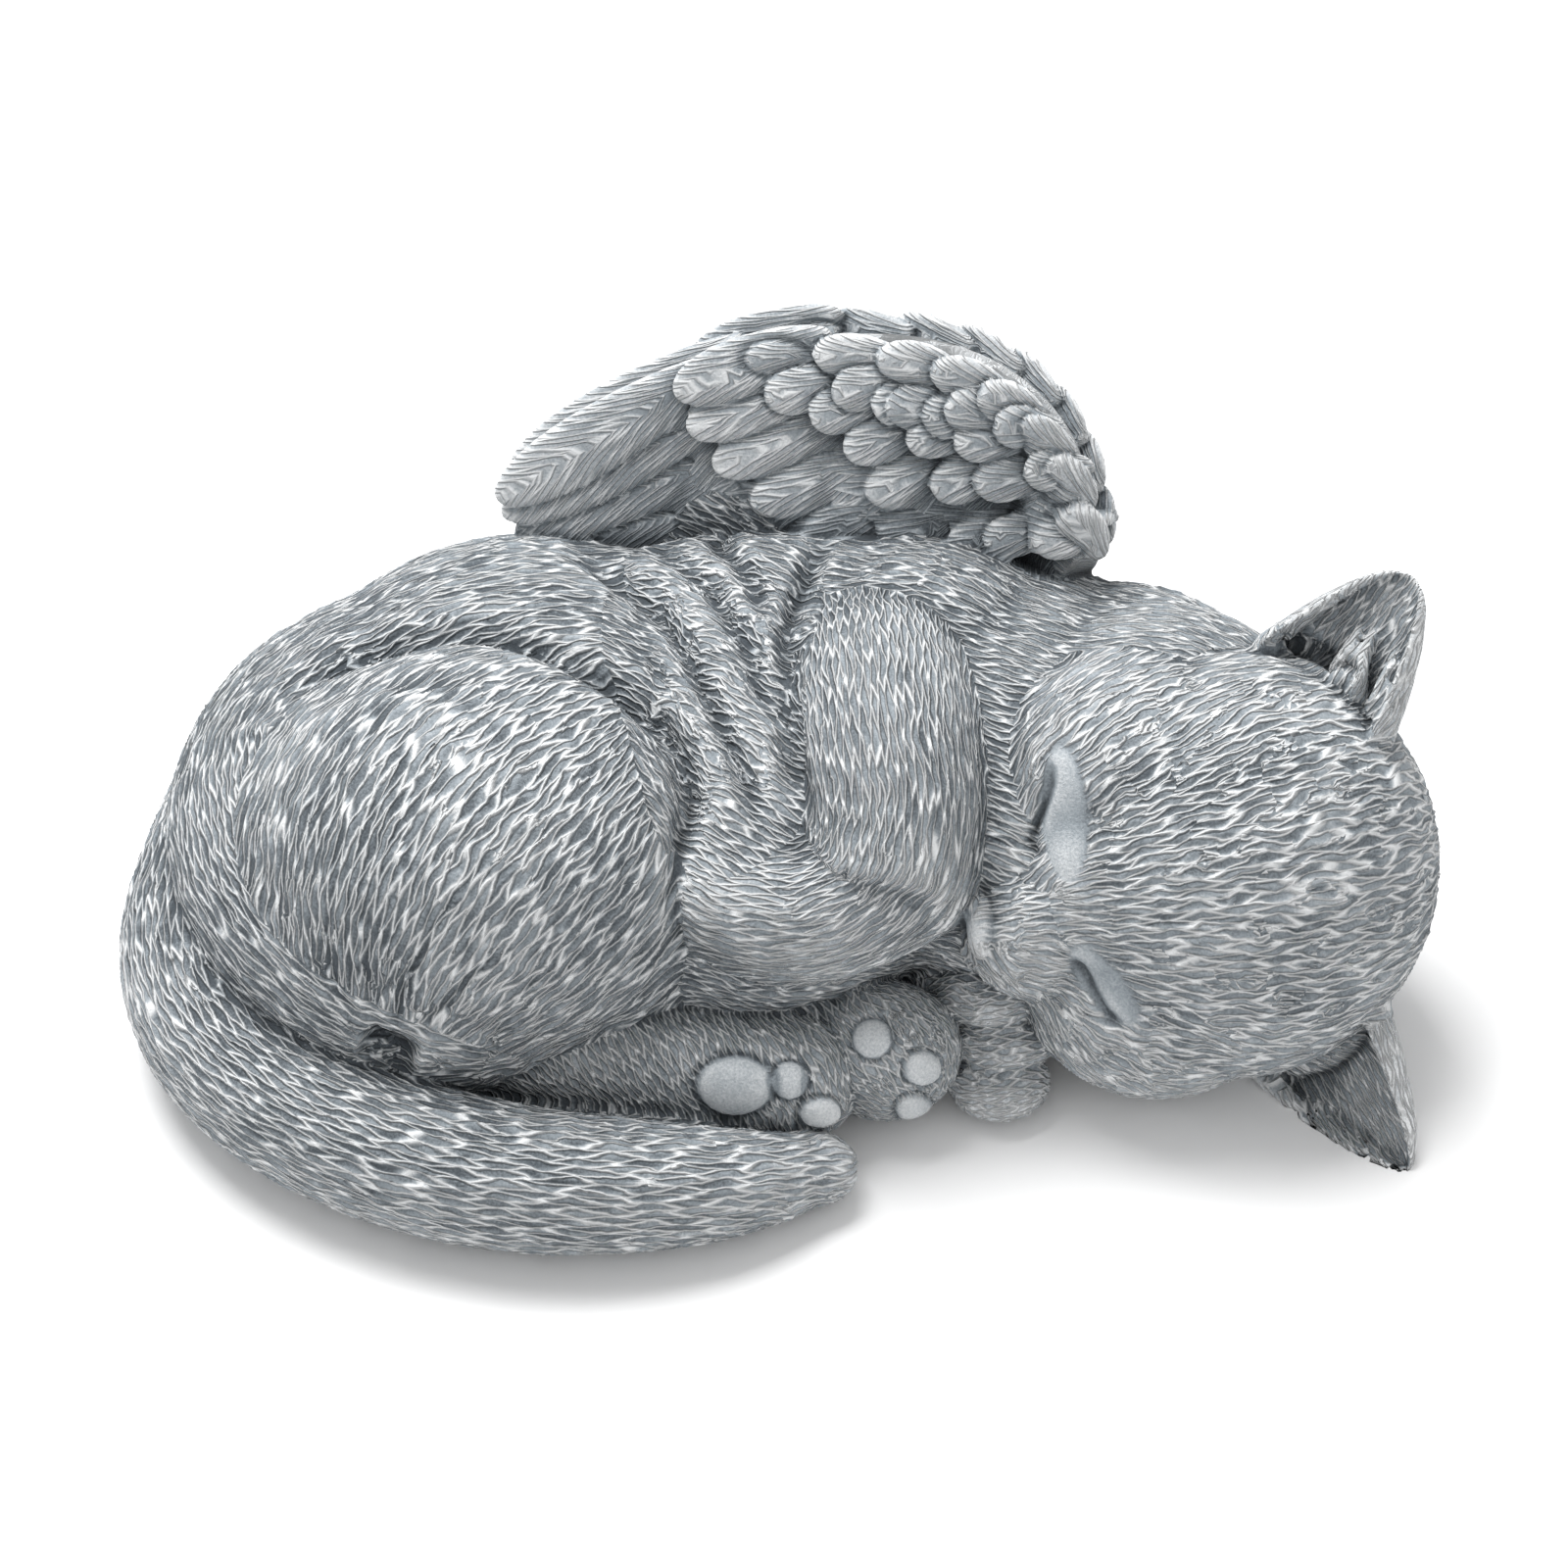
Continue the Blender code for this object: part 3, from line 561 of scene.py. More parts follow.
BACK_LINE = (
    (-70, 30, 20, 14), (-88, 60, 24, 14), (-76, 82, 32, 16), (-50, 94, 38, 18), (-12, 96, 42, 20), (26, 88, 44, 20),
    (58, 78, 42, 18), (80, 70, 38, 16),
)
LINES = {
    "tail": bent_line(TAIL, 6),
    "arm": bent_line((*UPPER_ARM[:3], (15.5, 43, 47.5, 14), (13.5, 35, 42, 13), (5, 33, 38.5, 12), *FOREARM[2:]), 6),
    "hind_foot": bent_line(HIND_FOOT, 6),
    "back": bent_line(BACK_LINE, 6),
}
ZONES = ("tail", "arm", "hind_foot", "back", "thigh", "belly", "chest", "head", "far_paw", "toes", "near_ear",
         "far_ear", "wing")
WING = ZONES.index("wing")
STROKES = {
    "tail": (11.0, 1.5), "arm": (10.0, 1.25), "hind_foot": (6.0, 1.2), "back": (11.5, 1.5), "thigh": (13.0, 1.6),
    "belly": (8.0, 1.4), "chest": (10.0, 1.35), "head": (12.0, 1.45), "far_paw": (5.0, 1.2), "toes": (5.0, 1.2),
    "near_ear": (8.5, 1.15), "far_ear": (8.5, 1.15), "wing": (16.0, 1.0),
}
FAR_OFF = 1e3  # farther than any two points of the figure


def feather_rings(points):
    """For each point the nearest feather's ring, 1 on its surface, that feather's number, and how much farther
    the next feather's ring is."""
    nearest, second = np.full((2, len(points)), FAR_OFF)
    owner = np.zeros(len(points), int)
    for number, (place, half) in enumerate(feathers):
        own = to_own(points, place) / half
        ring = np.sqrt(own[:, 0] ** 2 + (own[:, 1] / (0.9 + 0.22 * own[:, 0])) ** 2 + own[:, 2] ** 4)
        owner = np.where(ring < nearest, number, owner)
        second = np.where(ring < nearest, nearest, np.minimum(second, ring))
        nearest = np.minimum(nearest, ring)
    return nearest, owner, second - nearest


def zones_of(points):
    """The zone of each point: the one whose form is nearest. Millimetres added to a gap or taken off it decide
    between forms that overlap."""
    far = np.full((len(points), len(ZONES)), FAR_OFF)

    def claim(name, gap):
        column = ZONES.index(name)
        far[:, column] = np.minimum(far[:, column], gap)

    for name in ("tail", "arm", "hind_foot"):
        claim(name, nearest_station(points, LINES[name])[0])
    claim("tail", oval_distance(points, *ENDS["tail_tip"]))
    claim("arm", oval_distance(points, *ENDS["paw"]))
    claim("hind_foot", oval_distance(points, *ENDS["hind_paw"]))
    claim("far_paw", nearest_station(points, bent_line(FAR_HIND_FOOT, 6))[0])
    claim("far_paw", oval_distance(points, *ENDS["far_hind_paw"]))
    for name in ("toe_1", "toe_2", "toe_3"):
        claim("toes", oval_distance(points, *ENDS[name]))
    for name in ("rump", "loin", "tail_bed"):
        claim("back", oval_distance(points, *BODY[name]) + 1)
    claim("back", oval_distance(points, *BODY["back"]) + 2)
    for name in ("chest", "neck", "nape", "throat", "head_bed"):
        claim("chest", oval_distance(points, *BODY[name]) + 0.5)
    claim("chest", oval_distance(points, *SHOULDER))
    for name in ("ribs", "bed"):
        claim("belly", oval_distance(points, *BODY[name]) + 1)
    claim("belly", oval_distance(points, (-12, 66, 52), (17, 36, 16)) - 1)
    claim("thigh", oval_distance(points, *THIGH) - 0.5)
    for mass in SKULL.values():
        claim("head", oval_distance(points, *mass, HEAD))
    for name, side in (("near_ear", -1), ("far_ear", 1)):
        own = to_own(points, ear_place(side))
        size = np.sqrt(np.clip(1 - own[:, 0] / EAR_LENGTH, 0.02, 1))
        ring = np.hypot(own[:, 1] / (EAR_HALF_WIDTH * size), own[:, 2] / (EAR_DEPTH * size))
        claim(name, np.where((own[:, 0] > 4) & (own[:, 0] < EAR_LENGTH + 3) & (ring < 1.25), -3, FAR_OFF))
    for place in (NEAR_WING, FAR_WING):
        own = to_own(points, place)
        on_wing = (np.abs(own[:, 0]) < 52) & (own[:, 1] > -24) & (own[:, 1] < 26) & (np.abs(own[:, 2]) < 16)
        mine = np.flatnonzero(on_wing)
        gap = np.minimum(nearest_station(own[mine], bent_line(ARCH, 6))[0], feather_rings(points[mine])[0] * 4 - 4)
        for web in WEB:
            gap = np.minimum(gap, oval_distance(own[mine], *web))
        far[mine, WING] = np.minimum(far[mine, WING], gap - 0.8)
    return far.argmin(1)


zones = zones_of(points)
print({name: int((zones == number).sum()) for number, name in enumerate(ZONES)})

# %% The direction of the strokes
THIGH_PIT = np.array((-62, 17, 22.0))
THIGH_CREST = np.array((-3.7, 80, 58.0))
SLOPES = {"belly": -32, "chest": -24, "hind_foot": -62, "far_paw": -50, "toes": 6}


def fur_flow(points, normals, zones):
    """The direction of a stroke at each point, flat on the skin. On the thigh it is a source and a sink,
    (p - a) / |p - a|^2 - (p - b) / |p - b|^2; on the head it leads away from the nose."""
    flow = np.tile(np.array((1.0, 0, 0)), (len(points), 1))
    for number, name in enumerate(ZONES):
        mine = np.flatnonzero(zones == number)
        if not len(mine):
            continue
        here = points[mine]
        if name in SLOPES:
            angle = math.radians(SLOPES[name])
            flow[mine] = math.cos(angle) * np.array((1, 0, 0)) + math.sin(angle) * PLANE_UP
        elif name in LINES:
            rows = nearest_station(here, LINES[name])[1]
            flow[mine] = line_axes(LINES[name])[0][rows]
        elif name == "thigh":
            out, back = here - THIGH_PIT, here - THIGH_CREST
            flow[mine] = out / (out**2).sum(1)[:, None] - back / (back**2).sum(1)[:, None]
        elif name == "head":
            flow[mine] = here - NOSE_SPOT
        elif name in ("near_ear", "far_ear"):
            flow[mine] = ear_place(-1 if name == "near_ear" else 1)[1][0]
    flow = unit_rows(flow)
    flow -= normals * (flow * normals).sum(1)[:, None]
    return unit_rows(flow)


CREASE = 0.7  # mm deep where two feathers are equally near
feathered = np.flatnonzero(zones == WING)
ring, _, lead = feather_rings(points[feathered])
crease = CREASE * np.exp(-lead / 0.10) * (ring < 1.35)
points[feathered] -= normals[feathered] * crease[:, None]
flow = fur_flow(points, normals, zones)
print("strokes lean on the skin by at most", round(float(np.abs((flow * normals).sum(1)).max()), 3))

# %% [markdown]
# ## Patches of fur
#
# A flat pattern can't be wrapped on a body without tearing, but it can be laid on in small patches, as a carver
# works one small place at a time. Each patch has a middle, a direction along the strokes and one across them. The
# patches are shifted until neighbours agree where they meet, and a point takes the mean of its nearest three, so
# the strokes run on from patch to patch.


# %% Scattering patches
def scatter(points, apart, tries, seed):
    """Indices of points at least so far apart: tries are taken one by one and kept if no kept one is near."""
    order = np.random.default_rng(seed).permutation(len(points))[:tries]
    kept = np.empty(0, int)
    for index in order:
        if not len(kept) or (((points[kept] - points[index]) ** 2).sum(1) > apart[index] ** 2).all():
            kept = np.append(kept, index)
    return kept


furred = np.flatnonzero(zones != WING)
SMALL_ZONES = ("hind_foot", "far_paw", "toes", "near_ear", "far_ear")
small = np.isin(zones[furred], [ZONES.index(name) for name in SMALL_ZONES])
TRIES, SEED = 9000, 7
middles = furred[scatter(points[furred], np.where(small, 4.0, 5.0), TRIES, SEED)]
patch = {
    "point": points[middles], "normal": normals[middles], "zone": zones[middles], "along": flow[middles],
    "across": np.cross(normals[middles], flow[middles]),
    "size": np.array([STROKES[ZONES[zone]] for zone in zones[middles]]),
    "start": np.zeros((len(middles), 2)),
}
print(len(middles), "patches")

# %% The patches near a point
TURN_COSTS, ZONE_COSTS = 7, 20  # mm that facing another way, or lying in another zone, counts for


def keys(points, normals, zones):
    """Rows whose distances are small between points that are near, face the same way and share a zone."""
    same = np.eye(len(ZONES))[zones] * ZONE_COSTS
    return np.hstack((points, normals * TURN_COSTS, same)).astype(np.float32)


def near_patches(points, normals, zones, count=3, block=20000):
    """The nearest patches of each point, the nearest one first."""
    seeds = keys(patch["point"], patch["normal"], patch["zone"])
    wanted = keys(points, normals, zones)
    length = (seeds**2).sum(1)
    sets = np.empty((len(points), count), int)
    for start in range(0, len(points), block):
        apart = length - 2 * wanted[start : start + block] @ seeds.T
        few = np.argpartition(apart, count, axis=1)[:, :count]
        order = np.take_along_axis(apart, few, 1).argsort(1)
        sets[start : start + block] = np.take_along_axis(few, order, 1)
    return sets


def on_patches(points, sets):
    """Where points lie on some patches, in lengths and widths of a stroke, and how far they are from the middles."""
    arm = points[:, None] - patch["point"][sets]
    own = np.stack(((arm * patch["along"][sets]).sum(2), (arm * patch["across"][sets]).sum(2)), 2)
    return own / patch["size"][sets] + patch["start"][sets], np.linalg.norm(arm, axis=2)


sets = near_patches(points, normals, zones)
print("patches found for", len(sets), "points")


# %% Letting neighbouring patches agree
def settled(points, sets):
    """Where each patch starts in the pattern, so that two patches agree at the places m where they meet. It is the
    least-squares answer to s_i + x_i(m) = s_j + x_j(m), found from the pairs' Laplacian: (L + e) s = b. A seam is
    left on the far side of each limb, because a pattern can't close round it."""
    count = len(patch["point"])
    code = sets[:, 0] * count + sets[:, 1]
    codes, which, weight = np.unique(code, return_inverse=True, return_counts=True)
    meeting = np.stack([np.bincount(which, points[:, k]) for k in range(3)], 1) / weight[:, None]
    pair = np.stack((codes // count, codes % count), 1)
    own, _ = on_patches(meeting, pair)
    i, j = pair.T
    facing = patch["normal"] @ PLANE_OUT
    joined = (patch["zone"][i] == patch["zone"][j]) & (np.maximum(facing[i], facing[j]) > -0.2)
    joined &= (patch["normal"][i] * patch["normal"][j]).sum(1) > 0.3
    joined &= (patch["along"][i] * patch["along"][j]).sum(1) > 0
    weight = weight * joined
    matrix = np.eye(count) * 0.01
    np.add.at(matrix, (i, i), weight)
    np.add.at(matrix, (j, j), weight)
    np.add.at(matrix, (i, j), -weight)
    np.add.at(matrix, (j, i), -weight)
    pull = (own[:, 1] - own[:, 0]) * weight[:, None]
    right = np.zeros((count, 2))
    np.add.at(right, i, pull)
    np.add.at(right, j, -pull)
    return np.linalg.solve(matrix, right)


def fur_place(points, sets, reach=5.0):
    """Pattern coordinates: the mean of the near patches' own ones, each weighted by (1 - gap / (least gap + reach))
    squared, without any that differs from the nearest patch's by more than one and a half strokes."""
    own, gap = on_patches(points, sets)
    weight = np.clip(1 - gap / (gap[:, :1] + reach), 1e-6, 1) ** 2
    weight *= np.linalg.norm(own - own[:, :1], axis=2) < 1.5
    return (own * weight[..., None]).sum(1) / weight.sum(1)[:, None]


def turned(along, across):
    """Pattern coordinates (along + across, along - across), turned by 45 degrees so that the pattern's square
    cells become lozenges with their points along the fur."""
    return along + across, along - across


patch["start"] = settled(points, sets)
own, _ = on_patches(points, sets)
differ = np.linalg.norm(own[:, 0] - own[:, 1], axis=1)[zones != WING]
print("neighbouring patches differ by", np.round(np.percentile(differ, (25, 50, 75, 90)), 2), "strokes")


# %% Locks of hair as relief
def cells(u, v):
    """A scattering of one seed in each unit square. Returns how far a point is from the border between its
    seed and the next, its place along its own cell, and that cell's random level."""
    base_u, base_v = np.floor(u), np.floor(v)
    best, second = np.full(len(u), 9.0), np.full(len(u), 9.0)
    place, level = np.zeros(len(u)), np.zeros(len(u))
    for step_u in (-1, 0, 1):
        for step_v in (-1, 0, 1):
            i, j = base_u + step_u, base_v + step_v
            mix = np.modf(np.abs(np.sin(i * 127.1 + j * 311.7) * 43758.5453))[0]
            other = np.modf(np.abs(np.sin(i * 269.5 + j * 183.3) * 43758.5453))[0]
            gap = np.hypot(i + mix - u, j + other - v)
            closer = gap < best
            second = np.where(closer, best, np.minimum(second, gap))
            place = np.where(closer, u - i - mix, place)
            level = np.where(closer, mix * other, level)
            best = np.where(closer, gap, best)
    return second - best, place, level


# Each lock has a thin ridge round it and a floor that rises along its length. A lock is larger than a single
# stroke, because this mesh can't hold forms much finer than 2 mm.
RISE, UNEVEN, RIDGE, SUNK = 0.12, 0.18, 0.46, 0.18  # mm
along, across = fur_place(points, sets).T
border, place, level = cells(*turned(along / 1.4, across / 1.8))
relief = RISE * place + UNEVEN * level + RIDGE * np.exp(-border / 0.22) - SUNK
relief *= np.minimum(patch["size"][sets[:, 0], 1] / 1.5, 1.1)
relief[zones == WING] = 0
relief[np.isin(zones, (ZONES.index("near_ear"), ZONES.index("far_ear")))] *= 0.35
relief *= 1 - bareness(points, normals)
points += normals * relief[:, None]
print("relief from", round(float(relief.min()), 2), "to", round(float(relief.max()), 2), "mm")

# %% [markdown]
# ## Finishing the form
#
# The underside is cut flat where the figure stands. The finished skin is centred over the ground as the solid is,
# and simplified, because flat places need fewer triangles than feathers.

# %% Underside, centring and fewer triangles
shown = points[points[:, 2] > 0]
middle = (shown.min(0) + shown.max(0)) / 2 * (1, 1, 0)
points[:, 2] = np.where((points[:, 2] < 0.4) & (normals[:, 2] < -0.5), 0, np.maximum(points[:, 2], 0))
whole.vertices.foreach_set("co", ((points - middle) * MM).astype(np.float32).ravel())
whole.update()

fused_kitten = bpy.data.objects.new("fused_kitten", whole)
bpy.context.scene.collection.objects.link(fused_kitten)
TRIANGLES = 192000
simpler = fused_kitten.modifiers.new("simpler", "DECIMATE")
simpler.ratio = min(1, TRIANGLES / (2 * len(whole.polygons)))
skin = finished_mesh(fused_kitten)
skin.validate()
kitten = bpy.data.objects.new("kitten_casting", skin)
bpy.context.scene.collection.objects.link(kitten)
skin.shade_smooth()
print("the figure has", len(skin.polygons), "faces")

# %% [markdown]
# ## Laying the fine strokes on the skin
#
# Single strokes and barbs are about 1 mm wide, too fine for this mesh, so the material draws them. Every corner of
# a face carries its place in the pattern: along the fur, across it, and how strong the pattern is there. It belongs
# to the corner and not to the point, so that no face is stretched between patches that don't agree.

# %% Where each face lies in the pattern
points = read_points(skin.vertices, "co") / MM + middle
normals = read_points(skin.vertex_normals, "vector")
corners = np.empty(len(skin.loops), int)
skin.loops.foreach_get("vertex_index", corners)
counts = np.empty(len(skin.polygons), int)
skin.polygons.foreach_get("loop_total", counts)
faces = np.repeat(np.arange(len(counts)), counts)
face_points = read_points(skin.polygons, "center") / MM + middle
face_normals = read_points(skin.polygon_normals, "vector")
face_zones = zones_of(face_points)
face_sets = near_patches(face_points, face_normals, face_zones)

corner_points = points[corners]
along, across = fur_place(corner_points, face_sets[faces]).T
laid = np.stack((*turned(along, across), np.ones(len(corners))), 1)
print("pattern laid on", len(corners), "corners")

# %% Barbs of the feathers
BARB_STRENGTH = 0.5
wing_faces = np.flatnonzero(face_zones == WING)
face_owner = np.full(len(counts), -1)
face_owner[wing_faces] = feather_rings(face_points[wing_faces])[1]
for number, (place, half) in enumerate(feathers):
    mine = np.flatnonzero(face_owner[faces] == number)
    own = to_own(corner_points[mine], place)
    fan = own[:, 1] / (1 + 0.45 * own[:, 0] / half[0])
    slant = 0.30 if half[0] > 15 else 0.12  # barbs lean out more on long feathers
    along = own[:, 0] / STROKES["wing"][0] + number * 5.7
    across = (np.abs(fan) - slant * own[:, 0]) / STROKES["wing"][1] + number * 9.3
    laid[mine] = np.stack((*turned(along, across), np.full(len(mine), BARB_STRENGTH)), 1)
print(len(feathers), "feathers barbed")

# %% [markdown]
# ## Where the brush touched, and where shade is painted
#
# A dry brush whitens what stands up and misses what lies deep. A point above the mean of its neighbours is an
# edge, and one below it is a hollow. A few passes of averaging find fine edges, and many find broad ones. The broad
# hollows are also painted dark, as painted shade.


# %% Hollows and edges
def smoothed(values, edges, passes):
    """Each point's value mixed with the mean of its neighbours', several times over."""
    a, b = edges.T
    count = np.bincount(a, minlength=len(values)) + np.bincount(b, minlength=len(values))
    for _ in range(passes):
        total = np.stack([
            np.bincount(a, values[b, k], len(values)) + np.bincount(b, values[a, k], len(values))
            for k in range(values.shape[1])
        ], 1)
        values = 0.4 * values + 0.6 * total / np.maximum(count, 1)[:, None]
    return values


edges = np.empty(len(skin.edges) * 2, int)
skin.edges.foreach_get("vertices", edges)
edges = edges.reshape(-1, 2)
FINE_PASSES, BROAD_PASSES = 3, 40
fine = ((points - smoothed(points, edges, FINE_PASSES)) * normals).sum(1)
# Broad hollows: less dry brush on them, and painted shade in the material.
broad = ((points - smoothed(points, edges, BROAD_PASSES)) * normals).sum(1)
bare = bareness(points, normals)
print("hollows: fine", np.round(np.percentile(fine, (2, 50, 98)), 2), "broad",
      np.round(np.percentile(broad, (2, 50, 98)), 2))


def keep(name, kind, domain, values):
    """Stores values on the mesh for the material to read."""
    layer = skin.attributes.new(name, kind, domain)
    field = "vector" if kind == "FLOAT_VECTOR" else "value"
    layer.data.foreach_set(field, values.astype(np.float32).ravel())


keep("fur", "FLOAT_VECTOR", "CORNER", laid)
keep("form", "FLOAT_VECTOR", "POINT", np.stack((fine, broad, bare), 1))

# %% How much more each part was brushed
BRUSHED = {"hind_foot": 0.04, "head": 0.12, "toes": 0.06, "belly": -0.04, "wing": 0.22, "chest": 0.05,
           "near_ear": 0.24, "far_ear": 0.24}
amount = np.array([BRUSHED.get(name, 0.0) for name in ZONES])[zones_of(points)]
FOREPAW_SPOT = np.array((-4, 34, 40))
for spot, size in ((NOSE_SPOT, 22), (FOREPAW_SPOT, 20)):
    amount += 0.16 * np.exp(-((np.linalg.norm(points - spot, axis=1) / size) ** 2))
SPREAD_PASSES = 20
keep("brushed", "FLOAT", "POINT", smoothed(amount[:, None], edges, SPREAD_PASSES)[:, 0])
print("brushed more by up to", round(float(amount.max()), 2))

# %% [markdown]
# ## Cast stone, dry-brushed
#
# The real material is cement-bound stone dust, cast in a rubber mould, so its face is matt and finely sandy. The
# casting is slate grey. A nearly dry brush with chalky white paint was drawn over it, so white sits on every ridge
# and edge and the floors of the strokes stay grey. The strokes are a net of thin ridges: the borders between the
# cells of a Voronoi pattern, stretched along the fur by the coordinates stored above. Light and shade are painted
# into the colour as well: each stroke is painted lighter on one side and darker on the other, and broad hollows are
# painted dark as painted shade.


# %% A helper for nodes
def linear(code):
    """A colour from its hex code, with each channel made linear."""
    channels = [int(code[i : i + 2], 16) / 255 for i in (1, 3, 5)]
    return (*[c / 12.92 if c <= 0.04045 else ((c + 0.055) / 1.055) ** 2.4 for c in channels], 1)


stone = bpy.data.materials.new("cast stone, dry-brushed")
stone.use_nodes = True
nodes, links = stone.node_tree.nodes, stone.node_tree.links
shader = nodes["Principled BSDF"]


def add(kind, inputs=(), **settings):
    """Adds a node with its settings. Inputs are values or other nodes' sockets, in order or by name or number."""
    made = nodes.new("ShaderNode" + kind)
    for setting, value in settings.items():
        setattr(made, setting, value)
    for key, value in inputs.items() if isinstance(inputs, dict) else enumerate(inputs):
        if isinstance(value, bpy.types.NodeSocket):
            links.new(value, made.inputs[key])
        else:
            made.inputs[key].default_value = value
    return made


place = add("TexCoord").outputs["Object"]
laid = add("Attribute", attribute_name="fur").outputs["Vector"]
form = add("SeparateXYZ", (add("Attribute", attribute_name="form").outputs["Vector"],)).outputs
brushed = add("Attribute", attribute_name="brushed").outputs["Fac"]
print("stone has", len(nodes), "nodes so far")

# %% The net of strokes
WANDER = 5.0 * MM  # a stroke bends to and fro in about 5 mm
wander = add("TexNoise", {"Vector": place, "Scale": 1 / WANDER, "Detail": 2.0}).outputs["Fac"]
push = add("VectorMath", (wander, (0.5, 0.5, 0.5)), operation="SUBTRACT").outputs[0]
push = add("VectorMath", (push, (1.0, -1.0, 0)), operation="MULTIPLY").outputs[0]
strength = add("SeparateXYZ", (laid,)).outputs[2]
push = add("VectorMath", {0: push, "Scale": strength}, operation="SCALE").outputs[0]
spot = add("VectorMath", (laid, push), operation="ADD").outputs[0]
rules = {"Vector": spot, "Scale": 1.0, "Randomness": 0.55}
edge_gap = add("TexVoronoi", rules, voronoi_dimensions="2D", feature="DISTANCE_TO_EDGE").outputs["Distance"]
cell = add("TexVoronoi", rules, voronoi_dimensions="2D", feature="F1").outputs
arm = add("SeparateXYZ", (add("VectorMath", (spot, cell["Position"]), operation="SUBTRACT").outputs[0],)).outputs
ridge = add("MapRange", (edge_gap, 0.0, 0.27, 1, 0), interpolation_type="SMOOTHSTEP").outputs[0]
slope = add("Math", (arm[0], arm[1]), operation="ADD").outputs[0]
tone = add("SeparateColor", (cell["Color"],)).outputs[0]
furry = add("Math", (1.0, form[2]), operation="SUBTRACT").outputs[0]
furry = add("Math", (furry, strength), operation="MULTIPLY").outputs[0]
print("stone has", len(nodes), "nodes so far")

# %% Paint, painted shade and grain
GRAIN = 0.4 * MM  # the sand is about 0.2 mm; drawn twice as coarse, because a pixel of the render is 0.24 mm
CLOUD = 24 * MM  # a stroke of the dry brush is about this wide
grain = add("TexNoise", {"Vector": place, "Scale": 1 / GRAIN, "Detail": 4.0, "Roughness": 0.7}).outputs["Fac"]
cloud = add("TexNoise", {"Vector": place, "Scale": 1 / CLOUD, "Detail": 3.0}).outputs["Fac"]
height = 0.0
for part, amount in ((ridge, 0.9), (tone, 0.35), (slope, 0.15)):
    height = add("Math", (part, amount, height), operation="MULTIPLY_ADD").outputs[0]
height = add("Math", (height, furry), operation="MULTIPLY").outputs[0]
height = add("Math", (grain, 0.22, height), operation="MULTIPLY_ADD").outputs[0]

fine = add("MapRange", (form[0], -0.30, 0.40, -0.18, 0.16), interpolation_type="SMOOTHSTEP").outputs[0]
# Broad hollows get less chalk and broad edges more: partly the dry brush missing the hollows, partly painted shade in
# them.
broad = add("MapRange", (form[1], -2.2, 2.6, -0.32, 0.30), interpolation_type="SMOOTHSTEP").outputs[0]
over_ground = add("SeparateXYZ", (place,)).outputs[2]
low = add("MapRange", (over_ground, 2 * MM, 30 * MM, 0.16, 0.0), interpolation_type="SMOOTHSTEP").outputs[0]
# Painted light and shade: the slope term makes each stroke lighter on one side and darker on the other, as if light
# fell on it from one side; the ridge term is the real dry-brushed white.
stroke = add("Math", (slope, 0.12, -0.16), operation="MULTIPLY_ADD").outputs[0]
stroke = add("Math", (ridge, 0.90, stroke), operation="MULTIPLY_ADD").outputs[0]
stroke = add("Math", (tone, 0.25, stroke), operation="MULTIPLY_ADD").outputs[0]
chalk_and_painted_shade = add("Math", (stroke, furry), operation="MULTIPLY").outputs[0]
# Each part adds its share of chalky paint or painted shade; the last one lowers the whole.
PAINT = ((fine, 1), (broad, 1), (low, 1), (brushed, 1), (grain, 0.8), (cloud, 0.7), (form[2], 0.04), (1.0, -0.49))
for part, amount in PAINT:
    chalk_and_painted_shade = add("Math", (part, amount, chalk_and_painted_shade), operation="MULTIPLY_ADD").outputs[0]
light = add("MapRange", (chalk_and_painted_shade, -0.10, 0.55, 0, 1), interpolation_type="SMOOTHSTEP").outputs[0]
white = add("MapRange", (chalk_and_painted_shade, 0.40, 1.10, 0, 1), interpolation_type="SMOOTHSTEP").outputs[0]
# Painted shade: broad hollows and creases are darkened towards #2e3337, standing in for the shade that falls in them.
depth = add("MapRange", (form[1], -2.0, -0.4, 0.85, 0), interpolation_type="SMOOTHSTEP").outputs[0]
paint = add("Mix", {0: light, 6: linear("#484f55"), 7: linear("#99a1a7")}, data_type="RGBA").outputs[2]
paint = add("Mix", {0: white, 6: paint, 7: linear("#eceeef")}, data_type="RGBA").outputs[2]
paint = add("Mix", {0: depth, 6: paint, 7: linear("#2e3337")}, data_type="RGBA").outputs[2]
bump = add("Bump", {"Height": height, "Distance": 1.1 * MM, "Strength": 1.0}).outputs[0]
links.new(paint, shader.inputs["Base Color"])
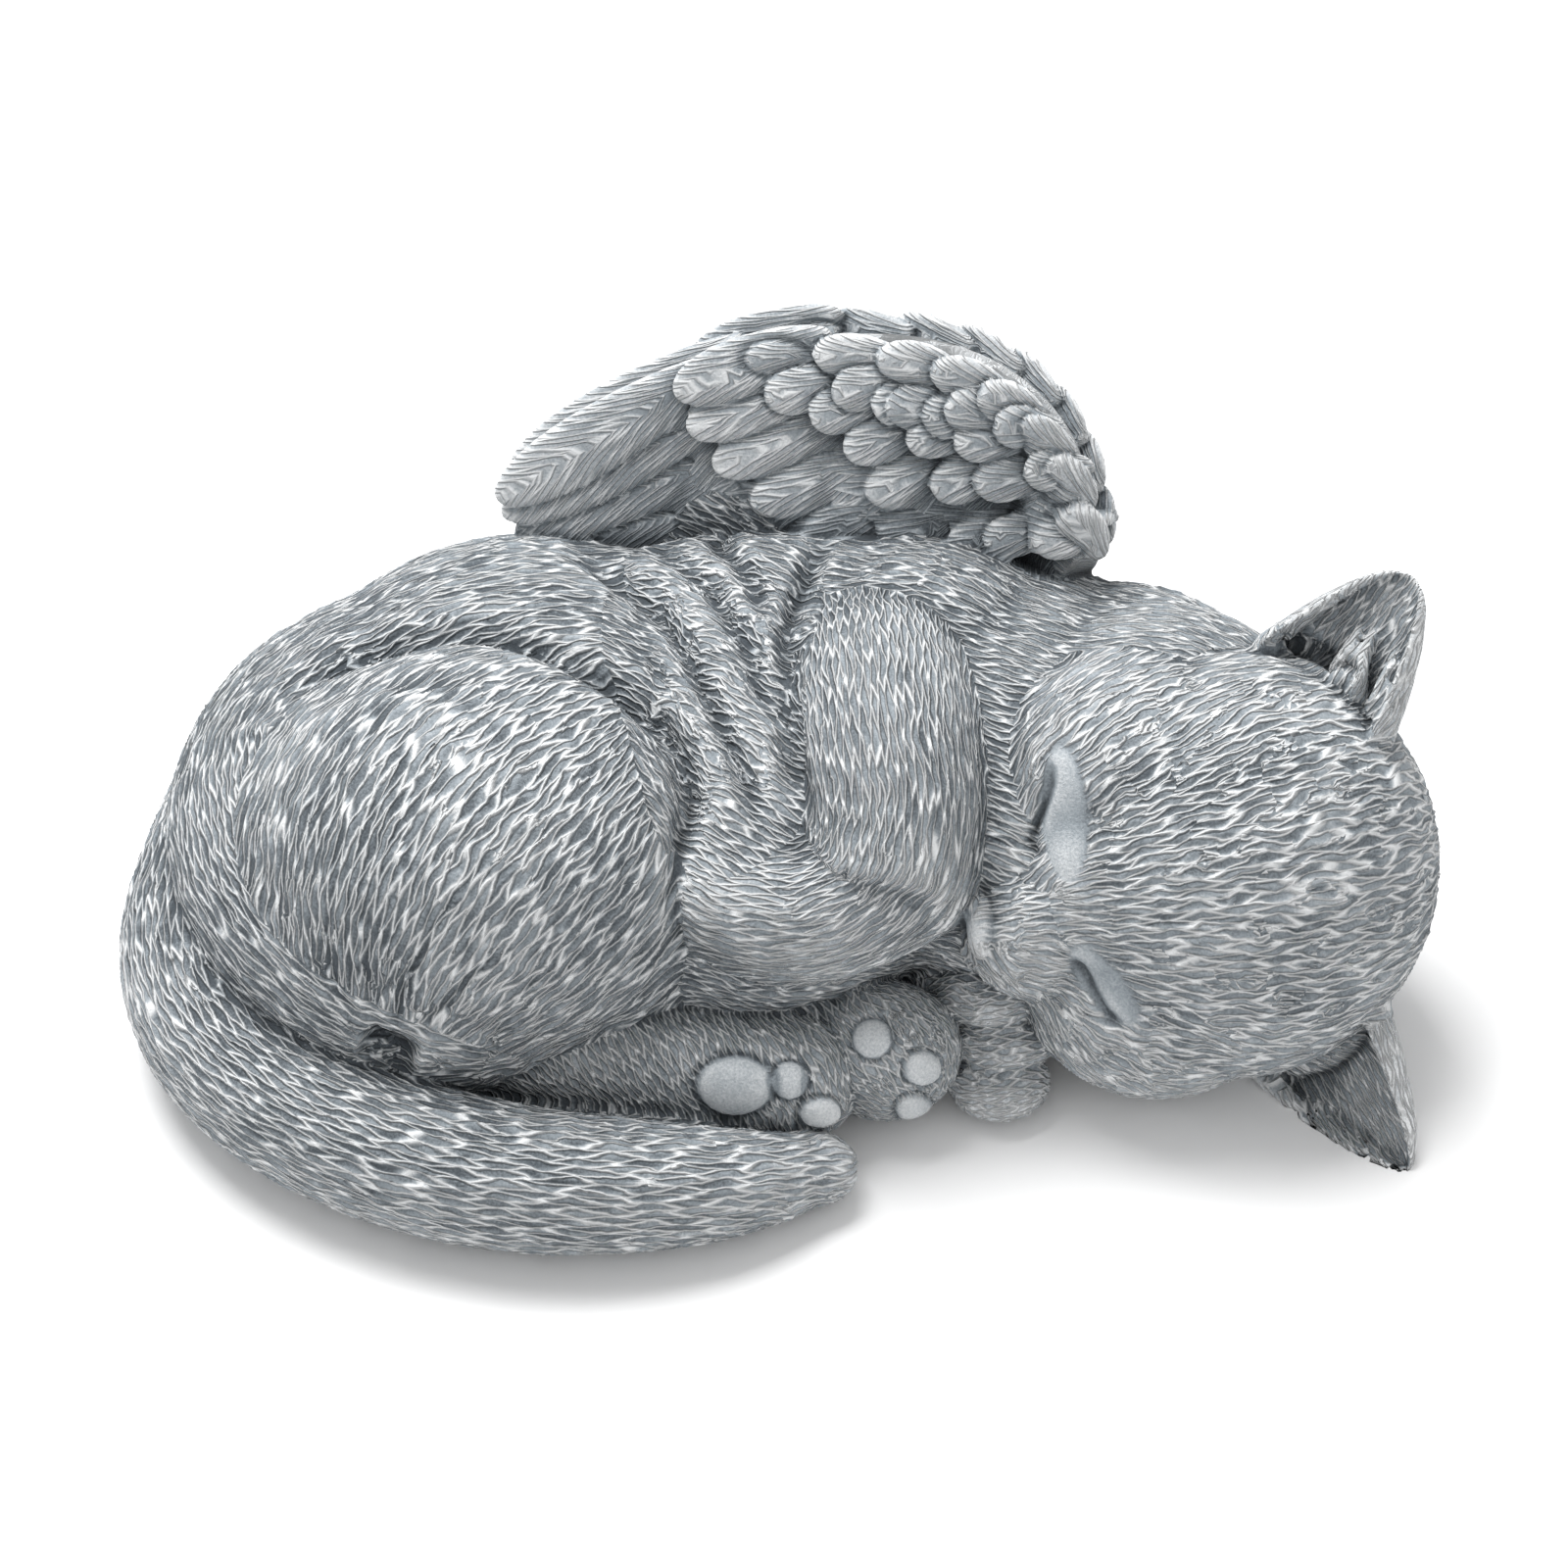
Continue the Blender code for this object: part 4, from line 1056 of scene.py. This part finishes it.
links.new(bump, shader.inputs["Normal"])
shader.inputs["Roughness"].default_value = 0.87
skin.materials.clear()
skin.materials.append(stone)
print("stone has", len(nodes), "nodes")

# %% What the figure stands for
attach(kitten, "root")
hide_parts("winged_kitten")
print(kitten.name, "takes the place of the solid")

# %% [markdown]
# ## Camera and light
#
# The photograph looks down at 50 degrees from so far off that the figure hardly shows perspective. One wide soft
# lamp hangs above it, a little behind and to the left, and a white room fills the shadows.

# %% Camera
from mathutils import Vector

TARGET = Vector((0.001, 0, 0.038))
BACK = Vector(PLANE_OUT.tolist())
DISTANCE = 1.5
camera = bpy.data.objects.new("camera", bpy.data.cameras.new("camera"))
camera.data.lens = 222.8  # the picture is 242 mm wide at the figure
camera.location = TARGET + BACK * DISTANCE
camera.rotation_euler = (-BACK).to_track_quat("-Z", "Y").to_euler()
bpy.context.scene.collection.objects.link(camera)
bpy.context.scene.camera = camera
print("the camera stands at", [round(value, 2) for value in camera.location])

# %% Floor, lamp and room
FLOOR = 3.0  # metres from the middle to an edge
square = np.array(((-1, -1, 0), (1, -1, 0), (1, 1, 0), (-1, 1, 0))) * FLOOR
ground = put_mesh("floor", square, [[0, 1, 2, 3]])
paper = bpy.data.materials.new("white paper")
paper.use_nodes = True
paper.node_tree.nodes["Principled BSDF"].inputs["Base Color"].default_value = (0.95, 0.95, 0.95, 1)
ground.data.materials.append(paper)

lamp = bpy.data.objects.new("lamp", bpy.data.lights.new("lamp", "AREA"))
lamp.data.size = 0.7
lamp.data.energy = 17
lamp.location = (-0.28, 0.45, 1.05)
lamp.rotation_euler = (TARGET - lamp.location).to_track_quat("-Z", "Y").to_euler()
bpy.context.scene.collection.objects.link(lamp)
world = bpy.data.worlds.new("room")
bpy.context.scene.world = world
world.use_nodes = True
world.node_tree.nodes["Background"].inputs["Color"].default_value = (1, 1, 1, 1)
world.node_tree.nodes["Background"].inputs["Strength"].default_value = 0.7
bpy.context.scene.view_settings.view_transform = "Standard"
print("lamp of", lamp.data.energy, "W")
